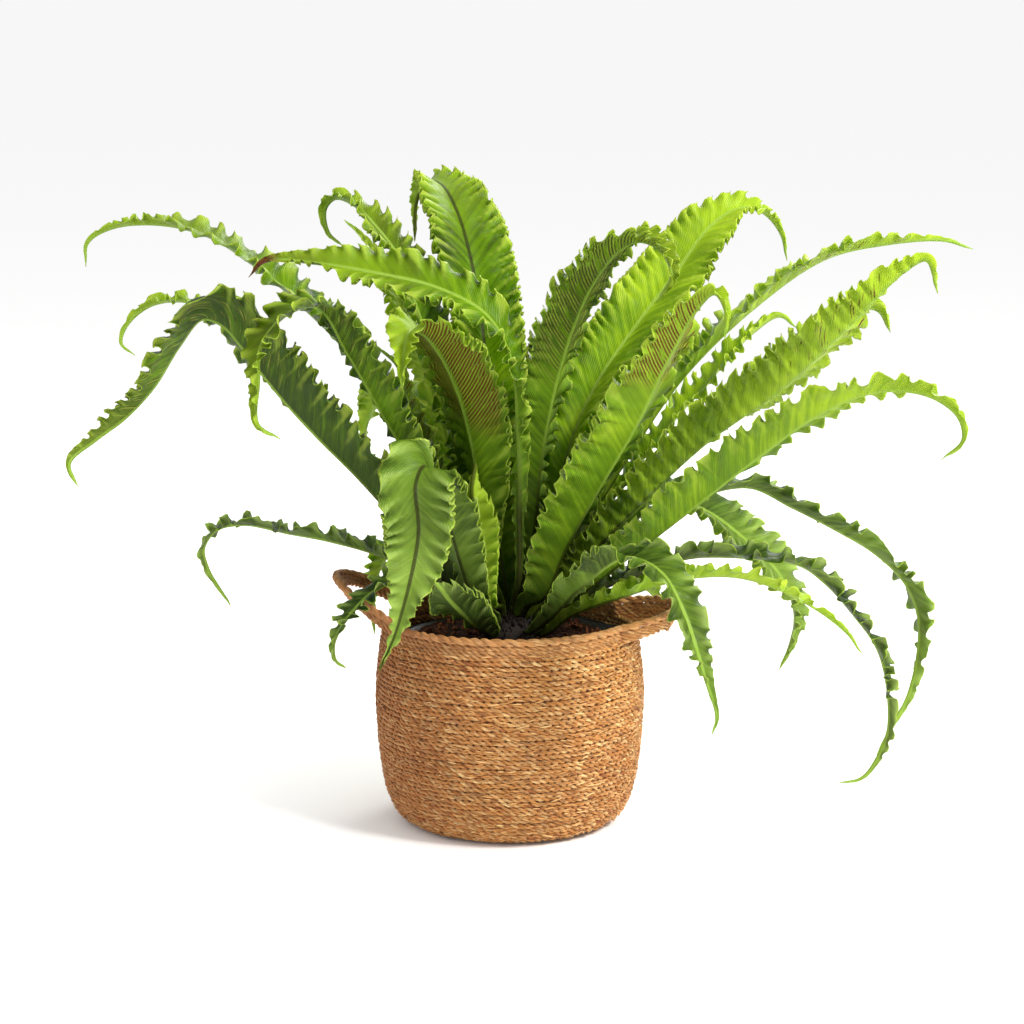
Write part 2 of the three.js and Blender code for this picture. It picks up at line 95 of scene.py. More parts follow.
def area_light(name, place, size, power, colour=WHITE):
    """A square soft light that looks at the plant."""
    light = bpy.data.objects.new(name, bpy.data.lights.new(name, "AREA"))
    light.data.size = size
    light.data.energy = power
    light.data.color = colour
    light.location = place
    light.rotation_euler = (Vector(LIT_POINT) - Vector(place)).to_track_quat("-Z", "Y").to_euler()
    bpy.context.collection.objects.link(light)


floor_mesh = bpy.data.meshes.new("floor")
corners = [(x * FLOOR_HALF, y * FLOOR_HALF, 0) for x, y in ((-1, -1), (1, -1), (1, 1), (-1, 1))]
floor_mesh.from_pydata(corners, [], [(0, 1, 2, 3)])
floor = bpy.data.objects.new("floor", floor_mesh)
floor_mesh.materials.append(plain_material("pale_floor", WHITE, 1))
bpy.context.collection.objects.link(floor)

area_light("key_light", (1.7, -1.1, 2.0), size=0.8, power=82, colour=(1, 0.985, 0.96))
area_light("fill_light", (-1.9, -1.6, 1.2), size=1.6, power=5, colour=(0.95, 0.98, 1))
area_light("back_light", (0.9, 1.9, 1.6), size=1.2, power=34)
world = bpy.data.worlds.new("studio")
world.use_nodes = True
background = world.node_tree.nodes["Background"]
background.inputs["Color"].default_value = (*WHITE, 1)
background.inputs["Strength"].default_value = WORLD_STRENGTH
bpy.context.scene.world = world
bpy.context.scene.view_settings.view_transform = "Standard"

# %% [markdown]
# Blender's node trees, for shapes and for finishes, are mostly arithmetic. Wiring each sum by hand
# makes a formula hard to read, so this small class lets a socket be added and multiplied as a number
# is: every + or * adds one Math node to the tree.

# %% A socket that can be added and multiplied
class Field:
    """A socket of a node tree, with arithmetic that adds nodes to the tree."""

    def __init__(self, tree, socket, vector=False):
        self.tree = tree
        self.socket = socket
        self.vector = vector

    def __add__(self, other):
        return self.tree.sum("ADD", self, other)

    def __sub__(self, other):
        return self.tree.sum("SUBTRACT", self, other)

    def __rsub__(self, other):
        return self.tree.sum("SUBTRACT", other, self)

    def __mul__(self, other):
        if self.vector:
            return self.tree.vector_math("SCALE", self, scale=other)
        return self.tree.math("MULTIPLY", self, other)

    def __truediv__(self, other):
        return self.tree.math("DIVIDE", self, other)

    def __rtruediv__(self, other):
        return self.tree.math("DIVIDE", other, self)

    def __pow__(self, other):
        return self.tree.math("POWER", self, other)

    __radd__ = __add__
    __rmul__ = __mul__

    def beside(self, output, vector=False):
        """Another output of the same node."""
        return Field(self.tree, self.socket.node.outputs[output], vector)


# %% A node tree that is written as formulas
class Tree:
    """Makes nodes and links in one node tree."""

    def __init__(self, nodes):
        self.nodes = nodes

    def node(self, kind, output=0, vector=False, settings=None, **inputs):
        """Adds a node, sets and links its inputs by name (spaces as _), and returns one output."""
        made = self.nodes.nodes.new(kind)
        for name, value in (settings or {}).items():
            setattr(made, name, value)
        for name, value in inputs.items():
            self.plug(made.inputs[name.replace("_", " ")], value)
        return Field(self, made.outputs[output], vector)

    def plug(self, socket, value):
        """Links a field to a socket, or sets the socket's value."""
        if isinstance(value, Field):
            self.nodes.links.new(value.socket, socket)
        else:
            socket.default_value = value

    def math(self, operation, *values, kind="ShaderNodeMath"):
        """A Math node, or a node of another kind that has an operation."""
        made = self.nodes.nodes.new(kind)
        made.operation = operation
        for socket, value in zip(made.inputs, values):
            self.plug(socket, value)
        return Field(self, made.outputs[0], kind != "ShaderNodeMath")

    def vector_math(self, operation, *values, scale=None):
        made = self.math(operation, *values, kind="ShaderNodeVectorMath")
        if scale is not None:
            self.plug(made.socket.node.inputs["Scale"], scale)
        return made

    def sum(self, operation, first, second):
        """Adds or subtracts two numbers, or two vectors."""
        if any(isinstance(value, Field) and value.vector for value in (first, second)):
            return self.vector_math(operation, first, second)
        return self.math(operation, first, second)

    def combine(self, x=0.0, y=0.0, z=0.0):
        return self.node("ShaderNodeCombineXYZ", vector=True, X=x, Y=y, Z=z)

    def blend(self, value, low, high):
        """0 before low, 1 beyond high, and smooth between them. Low may be the larger."""
        return self.node("ShaderNodeMapRange", "Result", settings={"interpolation_type": "SMOOTHSTEP"},
                         Value=value, From_Min=low, From_Max=high)

    def noise(self, place, scale, detail=2.0):
        """Smooth random values round 0.5 at a place."""
        return self.node("ShaderNodeTexNoise", Vector=place, Scale=scale, Detail=detail)


# %% A geometry tree with named inputs
SOCKETS = {int: "NodeSocketInt", float: "NodeSocketFloat", "material": "NodeSocketMaterial"}


class GeometryTree(Tree):
    """A geometry node tree that takes a mesh and named inputs, and gives a mesh."""

    def __init__(self, name, defaults):
        group = bpy.data.node_groups.new(name, "GeometryNodeTree")
        super().__init__(group)
        group.interface.new_socket("Geometry", in_out="INPUT", socket_type="NodeSocketGeometry")
        for label, value in defaults.items():
            socket_type = SOCKETS["material" if value is None else type(value)]
            socket = group.interface.new_socket(label, in_out="INPUT", socket_type=socket_type)
            if value is not None:
                socket.default_value = value
        group.interface.new_socket("Geometry", in_out="OUTPUT", socket_type="NodeSocketGeometry")
        self.start = group.nodes.new("NodeGroupInput")
        self.end = group.nodes.new("NodeGroupOutput")

    def __getitem__(self, label):
        """The value of a named input."""
        return Field(self, self.start.outputs[label])

    def make(self, kind, output=0, **inputs):
        """A node whose kind starts with GeometryNode."""
        return self.node("GeometryNode" + kind, output, **inputs)

    def attribute(self, name, kind="FLOAT"):
        """The value of a named attribute."""
        return self.make("InputNamedAttribute", vector=kind == "FLOAT_VECTOR",
                         settings={"data_type": kind}, Name=name)

    def store(self, geometry, name, value, kind="FLOAT", domain="POINT"):
        """Writes a value to a named attribute."""
        return self.make("StoreNamedAttribute", settings={"data_type": kind, "domain": domain},
                         Geometry=geometry, Name=name, Value=value)

    def position(self):
        return self.make("InputPosition", vector=True)

    def normal(self):
        return self.make("InputNormal", vector=True)

    def random(self, seed, output=1, **inputs):
        """A random number from 0 to 1 at every point."""
        return self.node("FunctionNodeRandomValue", output, Seed=seed, **inputs)

    def random_vector(self, seed, low, high):
        return self.random(seed, 0, vector=True, settings={"data_type": "FLOAT_VECTOR"}, Min=low, Max=high)

    def scatter(self):
        """Points thrown at the input's faces, by the inputs Density and Seed."""
        return self.make("DistributePointsOnFaces", Mesh=self["Geometry"], Density=self["Density"],
                         Seed=self["Seed"])

    def copies(self, points, shape, turn, size):
        return self.make("InstanceOnPoints", Points=points, Instance=shape, Rotation=turn, Scale=size)

    def join(self, *geometries):
        made = self.nodes.nodes.new("GeometryNodeJoinGeometry")
        for geometry in geometries:
            self.nodes.links.new(geometry.socket, made.inputs["Geometry"])
        return Field(self, made.outputs[0])

    def finish(self, geometry):
        """Smooth shading, real copies and the material, then the tree's output."""
        smooth = self.make("SetShadeSmooth", Geometry=geometry)
        real = self.make("RealizeInstances", Geometry=smooth)
        coated = self.make("SetMaterial", Geometry=real, Material=self["Material"])
        self.nodes.links.new(coated.socket, self.end.inputs["Geometry"])
        return self


# %% Running a tree on a mesh
def link_mesh(name, mesh):
    """A new object at the origin that shows a mesh."""
    piece = bpy.data.objects.new(name, mesh)
    bpy.context.collection.objects.link(piece)
    return piece


def grown(name, start, tree, values):
    """The plain mesh piece that a geometry tree makes from a starting mesh."""
    piece = link_mesh(name, start)
    modifier = piece.modifiers.new("shape", "NODES")
    modifier.node_group = tree.nodes
    items = tree.nodes.interface.items_tree
    sockets = {item.name: item.identifier for item in items if item.in_out == "INPUT"}
    for label, value in values.items():
        modifier[sockets[label]] = value
    bpy.context.view_layer.update()
    evaluated = piece.evaluated_get(bpy.context.evaluated_depsgraph_get())
    mesh = bpy.data.meshes.new_from_object(evaluated)
    piece.modifiers.clear()
    piece.data = mesh
    mesh.name = name
    return piece


def dress(piece, slot, *nodes):
    """Says what the piece rides on and which nodes it stands for. The slot is not used."""
    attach(piece, "root")
    if nodes:
        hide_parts(*nodes)
    piece.data.calc_loop_triangles()
    return len(piece.data.loop_triangles)


def lines_mesh(name, points, edges):
    """A mesh of points and edges, for a tree to follow."""
    mesh = bpy.data.meshes.new(name)
    mesh.from_pydata([tuple(point) for point in points], edges, [])
    return mesh


# %% [markdown]
# A frond of this fern is one leaf: a short dark stalk, a long blade folded along its midrib, and a
# tail that curls. Each frond follows a route through a few points, chosen for every leaf that
# the photograph shows. A point is [reach, height, side] in millimetres: out from the plant's axis,
# above the soil, and to the left. The frame's solids follow the same routes. After the route come the
# tone, from dark to light, how far spore cases cover the underside, the ruffles' pitch in mm, and the
# places where a frond differs from most.

# %% The fronds
SOIL_TOP = 172
CROWN_HEIGHT = 167
CROWN_RADIUS = 27.3
LEAVING_LENGTH = 12

Frond = namedtuple("Frond", "name azimuth rise half_width widest base roll path"
                   " tone sori wave dry rib growth hook", defaults=(0.45, 0, 15, 0, 0, 2.8, 0.6))
# A frond's tone is partly its own green and partly painted light and shade: fronds that lie in shadow, on
# the left and low down, have a lower tone.
FRONDS = [
    # Standing fronds in the middle
    Frond("centre_bent", 283, 70, 29, 0.72, 1.3, -150, [[46, 66, -2], [63, 130, -6], [72, 200, -9],
        [69, 262, -14], [57, 304, -34], [41, 328, -76], [28, 339, -120], [12, 348, -175], [2, 350, -222],
        [-4, 336, -236]], tone=0.33, wave=15, dry=1),
    Frond("centre_front", 320, 75, 42, 0.63, 1, 0, [[28, 94], [36, 160], [50, 225], [72, 288], [96, 332],
        [124, 362], [148, 372], [171, 364], [181, 345], [166, 320]], tone=0.24, sori=0.7, wave=12),
    Frond("centre_tall", 113, 78, 42, 0.6, 0.6, 0, [[30, 95], [44, 190], [66, 279], [94, 340],
        [125, 379], [162, 402], [200, 404], [230, 384], [238, 344]], tone=0.36, wave=13, rib=1),
    Frond("centre_back", 62, 66, 28, 0.58, 1.4, 0, [[38, 64], [74, 124], [116, 176], [172, 228],
        [224, 266], [266, 284]], tone=0.8),
    Frond("left_front_spotted", 226, 72, 49, 0.66, 1, 0, [[30, 60], [38, 125], [48, 180], [66, 232],
        [88, 268], [114, 290, 4], [134, 293, 8], [144, 276, 12], [148, 246, 14]], tone=0.38, sori=1.1,
        wave=12),
    Frond("left_back_glossy", 147, 66, 34, 0.56, 1, 0, [[44, 90], [68, 190], [94, 276], [112, 318],
        [124, 345], [149, 371], [175, 390], [195, 394], [206, 383], [202, 362], [185, 350]], tone=0.3),
    Frond("right_back_tall", 34, 64, 40, 0.55, 1.1, 30, [[42, 80], [66, 167], [97, 226], [147, 283],
        [190, 327], [229, 367], [265, 382], [293, 376], [315, 354], [322, 329]], tone=0.62, wave=13),
    Frond("right_front_spotted", 318, 62, 48, 0.52, 0.68, 0, [[42, 42], [66, 88], [103, 145], [148, 210],
        [184, 272], [215, 318], [234, 333], [245, 320], [245, 295]], tone=0.52, sori=0.8, wave=18),
    Frond("front_pale", 244, 62, 22, 0.68, 1, 0, [[42, 36], [57, 68], [71, 118], [78, 149], [69, 173]],
        tone=0.6, wave=12, rib=1),
    # Rising and arching fronds
    Frond("right_top", 16, 56, 38, 0.48, 1.2, -15, [[52, 68], [104, 148], [168, 236], [240, 300],
        [305, 340], [365, 352], [425, 354], [455, 345]], tone=0.66, sori=0.3, wave=23, growth=1.5,
        hook=0.1),
    Frond("right_wide", 344, 50, 52, 0.59, 0.66, -25, [[58, 62], [116, 124], [182, 188], [250, 240],
        [315, 304], [355, 345], [375, 356], [385, 328]], tone=0.82, sori=0.22, wave=14, growth=0.8,
        hook=0.4),
    Frond("right_low", 330, 34, 42, 0.46, 1.3, -20, [[62, 38], [112, 78], [174, 127], [241, 181],
        [307, 230], [361, 253], [406, 252], [432, 236], [436, 217], [417, 199]], tone=0.56, wave=20,
        growth=1.6, hook=0.2),
    Frond("right_middle", 356, 63, 22, 0.87, 1, 0, [[48, 66], [98, 135], [153, 191], [206, 237],
        [262, 278], [302, 302], [330, 304], [342, 284]], tone=0.72, wave=18, growth=1.6, hook=0.2),
    Frond("right_back_middle", 22, 40, 22, 0.68, 0.76, 0, [[56, 60], [104, 122], [156, 182], [206, 232],
        [246, 270], [274, 284], [292, 272]], tone=0.75),
    Frond("left_top", 162, 58, 36, 0.52, 1, 0, [[52, 82], [106, 190], [160, 260], [210, 305], [250, 335],
        [295, 360], [345, 370], [395, 365], [420, 350], [422, 328]], tone=0.42, wave=23, growth=1.5,
        hook=0.1),
    Frond("left_wide", 199, 44, 54, 0.56, 0.56, 20, [[60, 54], [112, 120], [147, 160], [179, 193],
        [206, 223], [231, 254], [250, 280], [266, 298], [284, 304], [304, 282], [328, 246], [354, 220],
        [380, 202], [403, 183], [396, 162]], tone=-0.05, sori=0.3, wave=17, hook=0.4),
    Frond("left_mid", 169, 46, 28, 0.52, 1, 0, [[64, 62], [128, 138], [184, 212], [236, 266], [290, 300],
        [335, 300], [362, 280], [368, 262], [355, 252]], tone=0.36, wave=20, growth=1.5, hook=0.2),
    Frond("left_striped", 213, 58, 35, 0.54, 1.4, 0, [[52, 68], [88, 144], [135, 219], [170, 276],
        [198, 316], [228, 312], [253, 288], [257, 254], [258, 219], [236, 204]], tone=0.2, sori=0.2,
        wave=16, growth=1.8, hook=0.4),
    Frond("left_inner", 190, 67, 22, 0.62, 1.4, 0, [[38, 70], [57, 129], [78, 185], [91, 217],
        [103, 253], [120, 270]], tone=0.35, sori=0.5),
    Frond("left_back_pale", 128, 56, 26, 0.55, 1.2, 0, [[52, 80], [82, 140], [114, 207], [154, 279],
        [199, 325], [240, 356], [262, 366]], tone=0.8, wave=13),
    Frond("front_hanging", 238, 44, 36, 0.55, 0.92, -35, [[54, 34], [80, 76], [104, 130], [124, 164],
        [142, 178], [154, 164], [150, 122], [164, 80], [186, 40], [212, 10]], tone=0.42, wave=15, rib=1),
    # Low fronds
    Frond("right_far_arc", 8, 30, 26, 0.5, 0.6, -10, [[52, 36], [92, 66], [130, 96], [172, 124],
        [223, 134], [265, 114], [306, 92], [345, 68], [375, 38], [388, 7], [389, -27], [380, -70],
        [368, -94], [351, -127]], tone=0.32, wave=25, growth=1.3, hook=0.1),
    Frond("right_dark", 356, 22, 22, 0.5, 0.76, 0, [[70, 38], [119, 60], [165, 76], [225, 76], [266, 70],
        [291, 52], [315, 25], [335, -2], [345, -30], [349, -82], [339, -111], [325, -130], [303, -135]],
        tone=0.1, wave=25, growth=1.3, hook=0.1),
    Frond("right_front_light", 338, 16, 22, 0.45, 0.76, -20, [[60, 24], [115, 48], [172, 68], [225, 72],
        [280, 55], [320, 30], [334, 12]], tone=0.55, wave=20, growth=1.4, hook=0.2),
    Frond("front_right_droop", 307, 24, 28, 0.45, 1.4, 0, [[62, 28], [109, 66], [168, 100], [218, 94],
        [250, 60], [274, 14], [290, -18], [284, -34]], tone=0.22, wave=20, growth=1.6, hook=0.2),
    Frond("right_hanging", 30, 24, 28, 0.7, 0.6, 60, [[58, 34], [108, 80], [165, 116], [214, 98],
        [265, 62], [305, 23], [322, -16], [316, -48], [304, -70]], tone=0.36, wave=18, growth=1.6,
        hook=0.3),
    Frond("right_behind", 50, 20, 20, 0.5, 0.6, 0, [[60, 24], [105, 38], [155, 36], [190, 20], [226, -4],
        [248, -30]], tone=0.3),
    Frond("left_low", 182, 32, 22, 0.45, 1.1, 10, [[60, 44], [112, 74], [163, 90], [203, 98], [243, 106],
        [268, 101], [280, 84], [276, 64], [266, 46], [256, 30]], tone=0.16, wave=22, growth=1.4,
        hook=0.1),
    Frond("left_over_handle", 208, 26, 20, 0.45, 0.6, 0, [[62, 34], [88, 50], [118, 62], [141, 54],
        [160, 38], [172, 24], [178, 10], [176, -4], [166, -12]], tone=0.08, wave=14),
    Frond("front_left_low", 240, 18, 26, 0.6, 0.6, 25, [[46, 12], [72, 28], [102, 50], [132, 74]],
        tone=0.08, wave=13),
    # Back of the plant
    Frond("back_right", 64, 50, 38, 0.5, 0.6, 0, [[60, 70], [120, 135], [190, 190], [265, 220],
        [330, 215], [370, 180], [380, 140]], tone=0.45),
    Frond("back_middle", 97, 60, 36, 0.5, 1.1, 0, [[48, 85], [90, 165], [145, 238], [215, 272],
        [285, 266], [335, 225], [350, 178]], tone=0.45),
    Frond("back_left", 117, 44, 36, 0.5, 0.6, 0, [[64, 60], [128, 128], [190, 178], [248, 196],
        [295, 180], [325, 140], [330, 100]], tone=0.45),
    Frond("back_low_right", 76, 26, 24, 0.5, 0.6, 0, [[75, 40], [140, 72], [205, 78], [262, 48],
        [295, -5], [298, -50]], tone=0.45),
    Frond("back_low_left", 103, 24, 24, 0.5, 0.6, 0, [[75, 38], [140, 68], [205, 76], [265, 55],
        [305, 8], [318, -45]], tone=0.45),
    Frond("back_low_side", 136, 28, 22, 0.5, 0.6, 0, [[62, 36], [105, 62], [145, 66], [172, 42],
        [184, 6], [182, -28]], tone=0.45),
]
print("fronds:", len(FRONDS))

# %% [markdown]
# Between the points the midrib is a smooth line. A Catmull-Rom curve goes through every point, and
# its centripetal form keeps it from looping where two points are close. It is worked out here in a
# few lines, because the blade also needs to know which way is up at each station. That direction
# starts towards the plant's axis and is carried along without twisting, then turned by the roll.

# %% A smooth line through points
LEAST_GAP, FEWEST_STEPS = 1e-4, 8


def smooth_line(points, samples=30):
    """Many points on a centripetal Catmull-Rom curve."""
    points = np.array(points, float)
    full = np.vstack([2 * points[0] - points[1], points, 2 * points[-1] - points[-2]])
    line = []
    for before, start, end, after in zip(full, full[1:], full[2:], full[3:]):
        pairs = ((before, start), (start, end), (end, after))
        first, middle_gap, last = [max(np.linalg.norm(b - a) ** 0.5, LEAST_GAP) for a, b in pairs]
        slope = (end - start) / middle_gap
        leave = (start - before) / first - (end - before) / (first + middle_gap) + slope
        arrive = slope - (after - start) / (middle_gap + last) + (after - end) / last
        for share in np.linspace(0, 1, samples, endpoint=False):
            square, cube = share ** 2, share ** 3
            line.append((2 * cube - 3 * square + 1) * start + (3 * square - 2 * cube) * end
                        + middle_gap * ((cube - 2 * square + share) * leave + (cube - square) * arrive))
    line.append(points[-1])
    return np.array(line)


def evenly(line, step):
    """The same line with points a step apart."""
    travelled = np.concatenate([[0], np.cumsum(np.linalg.norm(np.diff(line, axis=0), axis=1))])
    count = max(int(round(travelled[-1] / step)), FEWEST_STEPS) + 1
    marks = np.linspace(0, travelled[-1], count)
    spaced = [np.interp(marks, travelled, values) for values in line.T]
    return np.stack(spaced, 1), marks


# %% The midrib with its directions
ROLL_FROM, ROLL_TO = 0.1, 0.65
STATION_STEP = 1.5


def smoothstep(value, low, high):
    share = np.clip((value - low) / (high - low), 0, 1)
    return share * share * (3 - 2 * share)


def midrib_line(frond):
    """Points along the midrib in mm, from the crown's surface."""
    angle, rise = math.radians(frond.azimuth), math.radians(frond.rise)
    out = np.array([math.cos(angle), math.sin(angle), 0])
    aside = np.array([-math.sin(angle), math.cos(angle), 0])
    up = np.array([0, 0, 1.0])
    leaving = out * math.cos(rise) + up * math.sin(rise)
    root = up * CROWN_HEIGHT + leaving * CROWN_RADIUS
    route = [root, root + leaving * LEAVING_LENGTH]
    for reach, height, *side in frond.path:
        route.append(out * reach + up * (SOIL_TOP + height) + aside * sum(side))
    return evenly(smooth_line(route), STATION_STEP)


def midrib_frames(frond):
    """Points, upper sides and left-hand sides along the midrib, with the mm and the share travelled."""
    points, along = midrib_line(frond)
    share = along / along[-1]
    tangents = np.gradient(points, axis=0)
    tangents /= np.linalg.norm(tangents, axis=1)[:, None]
    angle = math.radians(frond.azimuth)
    upper = np.array([-math.cos(angle), -math.sin(angle), 0])
    ups = []
    for tangent, place in zip(tangents, share):
        upper = upper - tangent * upper.dot(tangent)
        upper /= np.linalg.norm(upper)
        roll = math.radians(frond.roll) * smoothstep(place, ROLL_FROM, ROLL_TO)
        ups.append(upper * math.cos(roll) + np.cross(tangent, upper) * math.sin(roll))
    ups = np.array(ups)
    return points, ups, np.cross(ups, tangents), along, share


print("longest midrib:", round(max(midrib_line(frond)[1][-1] for frond in FRONDS)), "mm")

# %% [markdown]
# Across the midrib a blade is a shallow V: narrow at the stalk, broad in the middle, and a long thin
# tail. Its margin is longer than the leaf, so it has to go up and down in ruffles, a small hook every
# 15 mm or so, and soft ribs run back from each hook towards the midrib. The width, the fold and the
# ruffles' height are written on the midrib's points as attributes, for the node tree to read.

# %% What a blade measures at each station
STALK_HALF_WIDTH, TIP_HALF_WIDTH = 3.6, 1.1
TAIL_POWER = 1.1
FULLNESS = 0.82  # a dressed blade is a little fuller towards its stalk than its solid
ROOT_FOLD, TIP_FOLD = math.radians(36), math.radians(8)
RUFFLE_HEIGHT, RUFFLE_SHARE, RUFFLE_START = 5.0, 0.45, (0.05, 0.2)
TAIL_FROM, TAIL_FULL = 0.74, 0.96
TAIL_FOLD, TAIL_DRAW, TAIL_CALM = math.radians(42), 0.35, 0.4


def half_widths(frond, share):
    """A bulge that is highest where the blade is widest, between the stalk's width and the tip's."""
    bulge = np.sin(np.pi * share ** (math.log(0.5) / math.log(frond.widest)))
    ends = STALK_HALF_WIDTH + (TIP_HALF_WIDTH - STALK_HALF_WIDTH) * share
    power = np.where(share < frond.widest, frond.base * FULLNESS, TAIL_POWER)
    return ends + (frond.half_width - ends) * np.maximum(bulge, 0) ** power


def blade_path(frond, name):
    """The midrib as a line of edges with the blade's measures on its points, in metres."""
    points, ups, lefts, along, share = midrib_frames(frond)
    tail = smoothstep(share, TAIL_FROM, TAIL_FULL)
    widths = half_widths(frond, share) * (1 - TAIL_DRAW * tail)
    mesh = lines_mesh(name, points * MM, [(i, i + 1) for i in range(len(points) - 1)])
    ruffle = np.minimum(RUFFLE_HEIGHT, RUFFLE_SHARE * widths) * (1 - TAIL_CALM * tail)
    ruffle *= smoothstep(share, *RUFFLE_START)
    numbers = {"half_width": widths * MM, "ruffle": ruffle * MM, "along": along * MM, "share": share,
               "fold": ROOT_FOLD + (TIP_FOLD - ROOT_FOLD) * share + TAIL_FOLD * tail}
    for label, values in numbers.items():
        layer = mesh.attributes.new(label, "FLOAT", "POINT")
        layer.data.foreach_set("value", values.astype(np.float32))
    for label, values in {"up": ups, "left": lefts}.items():
        layer = mesh.attributes.new(label, "FLOAT_VECTOR", "POINT")
        layer.data.foreach_set("vector", values.astype(np.float32).ravel())
    return mesh


# %% [markdown]
# The tree lays a grid along the midrib: its rows are the stations and its columns run from one
# margin to the other, closer together at the margins where the ruffles are. Every grid point looks
# up its station's measures and works out its own place. The underside is the same grid, moved in by
# the leaf's thickness, which shrinks to nothing at the margin, so the two sides close there.

# %% The frond blade tree
COLUMNS = 13
MARGIN_CROWDING = 1.6
DRIFT_PER_METRE, DRIFT_REACH, BEAT_PER_METRE = 26.0, 18.0, 48.0
FRILL_RATE, FRILL_POWER, SLOW_RATE = 2.17, 6.0, 1.6
RIB_TAPER, ROOT_CLOSING, TIP_CLOSING = 0.8, 0.012, 0.02
WELD_DISTANCE = 1e-6


def blade_waves(tree, along, reach, side, across):
    """The folds' crest, and how far a point is lifted and slipped along, as shares of their height."""
    length, seed = tree["Wave Length"], tree["Seed"]
    drift = tree.noise(tree.combine(along * DRIFT_PER_METRE, side * 7.0 + seed), 1.0)
    run = (along - reach * tree["Wave Lean"]) / length
    phase = run * math.tau + side * 1.3 + drift * DRIFT_REACH + seed
    crest = tree.math("SINE", phase)
    beat = tree.noise(tree.combine(along * BEAT_PER_METRE, side * 5.0 - seed, 3.7), 1.0) * 2.0
    growth = across ** tree["Wave Growth"] * beat
    frill = tree.math("SINE", phase * FRILL_RATE + drift * 9.0 + side) * across ** FRILL_POWER
    slow = tree.math("SINE", along / length * SLOW_RATE + side * 2.1 + seed * 3.0) * across
    lift = crest * growth + frill * tree["Frill"] + slow * tree["Undulation"]
    fat = tree.math("SINE", phase * 2.0) * growth * across * -1.0
    slip = fat * tree["Curl"] + crest * growth * across * across * tree["Hook"]
    return crest, lift, slip


def blade_tree():
    tree = GeometryTree("frond blade", {
        "Columns": COLUMNS, "Wave Length": 0.016, "Wave Lean": 0.4, "Wave Growth": 2.8, "Curl": 0.3,
        "Hook": 0.6, "Frill": 0.4, "Undulation": 0.5, "Draw In": 0.1, "Arch": 0.22,
        "Blade Thickness": 0.0009, "Midrib Thickness": 0.0024, "Midrib Width": 0.0022, "Tone": 0.5,
        "Sori": 0.0, "Dry Tip": 0.0, "Dark Rib": 0.0, "Seed": 0.0, "Material": None})
    path, columns = tree["Geometry"], tree["Columns"]
    stations = tree.make("AttributeDomainSize", Geometry=path)
    grid = tree.make("MeshGrid", Size_X=1.0, Size_Y=1.0, Vertices_X=stations, Vertices_Y=columns)
    index = tree.make("InputIndex")
    row = tree.math("FLOOR", index / columns)

    def measure(value, kind="FLOAT"):
        return tree.make("SampleIndex", vector=kind == "FLOAT_VECTOR",
                         settings={"data_type": kind}, Geometry=path, Value=value, Index=row)

    point, up, left = [measure(source, "FLOAT_VECTOR") for source in (
        tree.position(), tree.attribute("up", "FLOAT_VECTOR"), tree.attribute("left", "FLOAT_VECTOR"))]
    ahead = tree.vector_math("CROSS_PRODUCT", left, up)
    width, ruffle, along, share, fold = [
        measure(tree.attribute(name)) for name in ("half_width", "ruffle", "along", "share", "fold")]

    spread = tree.math("MODULO", index, columns) / (columns - 1.0) * 2.0 - 1.0
    side = tree.math("SIGN", spread)
    across = 1.0 - (1.0 - tree.math("ABSOLUTE", spread)) ** MARGIN_CROWDING
    crest, lift, slip = blade_waves(tree, along, across * width, side, across)
    reach = across * width * (1.0 - across ** 4.0 * tree["Draw In"] * (crest * crest))
    lift = lift * ruffle + width * tree["Arch"] * (across - across * across)
    cosine, sine = tree.math("COSINE", fold), tree.math("SINE", fold)
    sideways = left * (side * (reach * cosine - lift * sine))
    upwards = up * (reach * sine + lift * cosine)
    top = tree.make("SetPosition", Geometry=grid,
                    Position=point + sideways + upwards + ahead * (slip * ruffle))
    values = {"across": across * side, "reach": across * width * side, "share": share, "along": along,
              "crest": crest * across, "tone": tree["Tone"], "sori": tree["Sori"],
              "dry": tree["Dry Tip"], "rib": tree["Dark Rib"]}
    for name, value in values.items():
        top = tree.store(top, name, value)
    spot = tree.combine(tree.attribute("along"), tree.attribute("reach"))
    top = tree.store(top, "blade_uv", spot, "FLOAT2", "CORNER")

    near_rib = tree.math("EXPONENT", (across * width / tree["Midrib Width"]) ** 2.0 * -1.0)
    rib = near_rib * (tree["Midrib Thickness"] - tree["Blade Thickness"]) * (1.0 - share * RIB_TAPER)
    ends = tree.blend(share, 0.0, ROOT_CLOSING) * tree.blend(1.0 - share, 0.0, TIP_CLOSING)
    thickness = (rib + tree["Blade Thickness"]) * (1.0 - across ** 6.0) * ends
    under = tree.make("SetPosition", Geometry=top, Offset=tree.normal() * (thickness * -1.0))
    under = tree.make("FlipFaces", Mesh=tree.store(under, "under", 1.0))
    both = tree.join(tree.store(top, "under", 0.0), under)
    closed = tree.make("MergeByDistance", Geometry=both, Distance=WELD_DISTANCE)
    return tree.finish(closed)


frond_tree = blade_tree()
print("frond blade tree:", len(frond_tree.nodes.nodes), "nodes")

# %% [markdown]
# The leaf's finish follows the leaf. Its map gives the metres along the midrib and across from it,
# so veins can run out and forward from the midrib. The margin is paler, the midrib pale green near
# the tip and dark brown at the stalk, and rows of brown spore cases lie along the veins of some
# undersides. A little light passes through a leaf, which subsurface scattering gives. Light and shade
# are painted in as well: the outer blade lighter, the ruffles' crests lighter and their troughs
# darker, and the blade darker towards the crown. The low fronds lie in the shade of the others and
# take a copy of the finish with greyer greens: painted shade.

# %% Colours and small helpers for finishes
def linear(colour):
    """A colour as it looks on a screen, as the linear numbers that a shader takes."""
    return tuple(c / 12.92 if c <= 0.04045 else ((c + 0.055) / 1.055) ** 2.4 for c in colour)


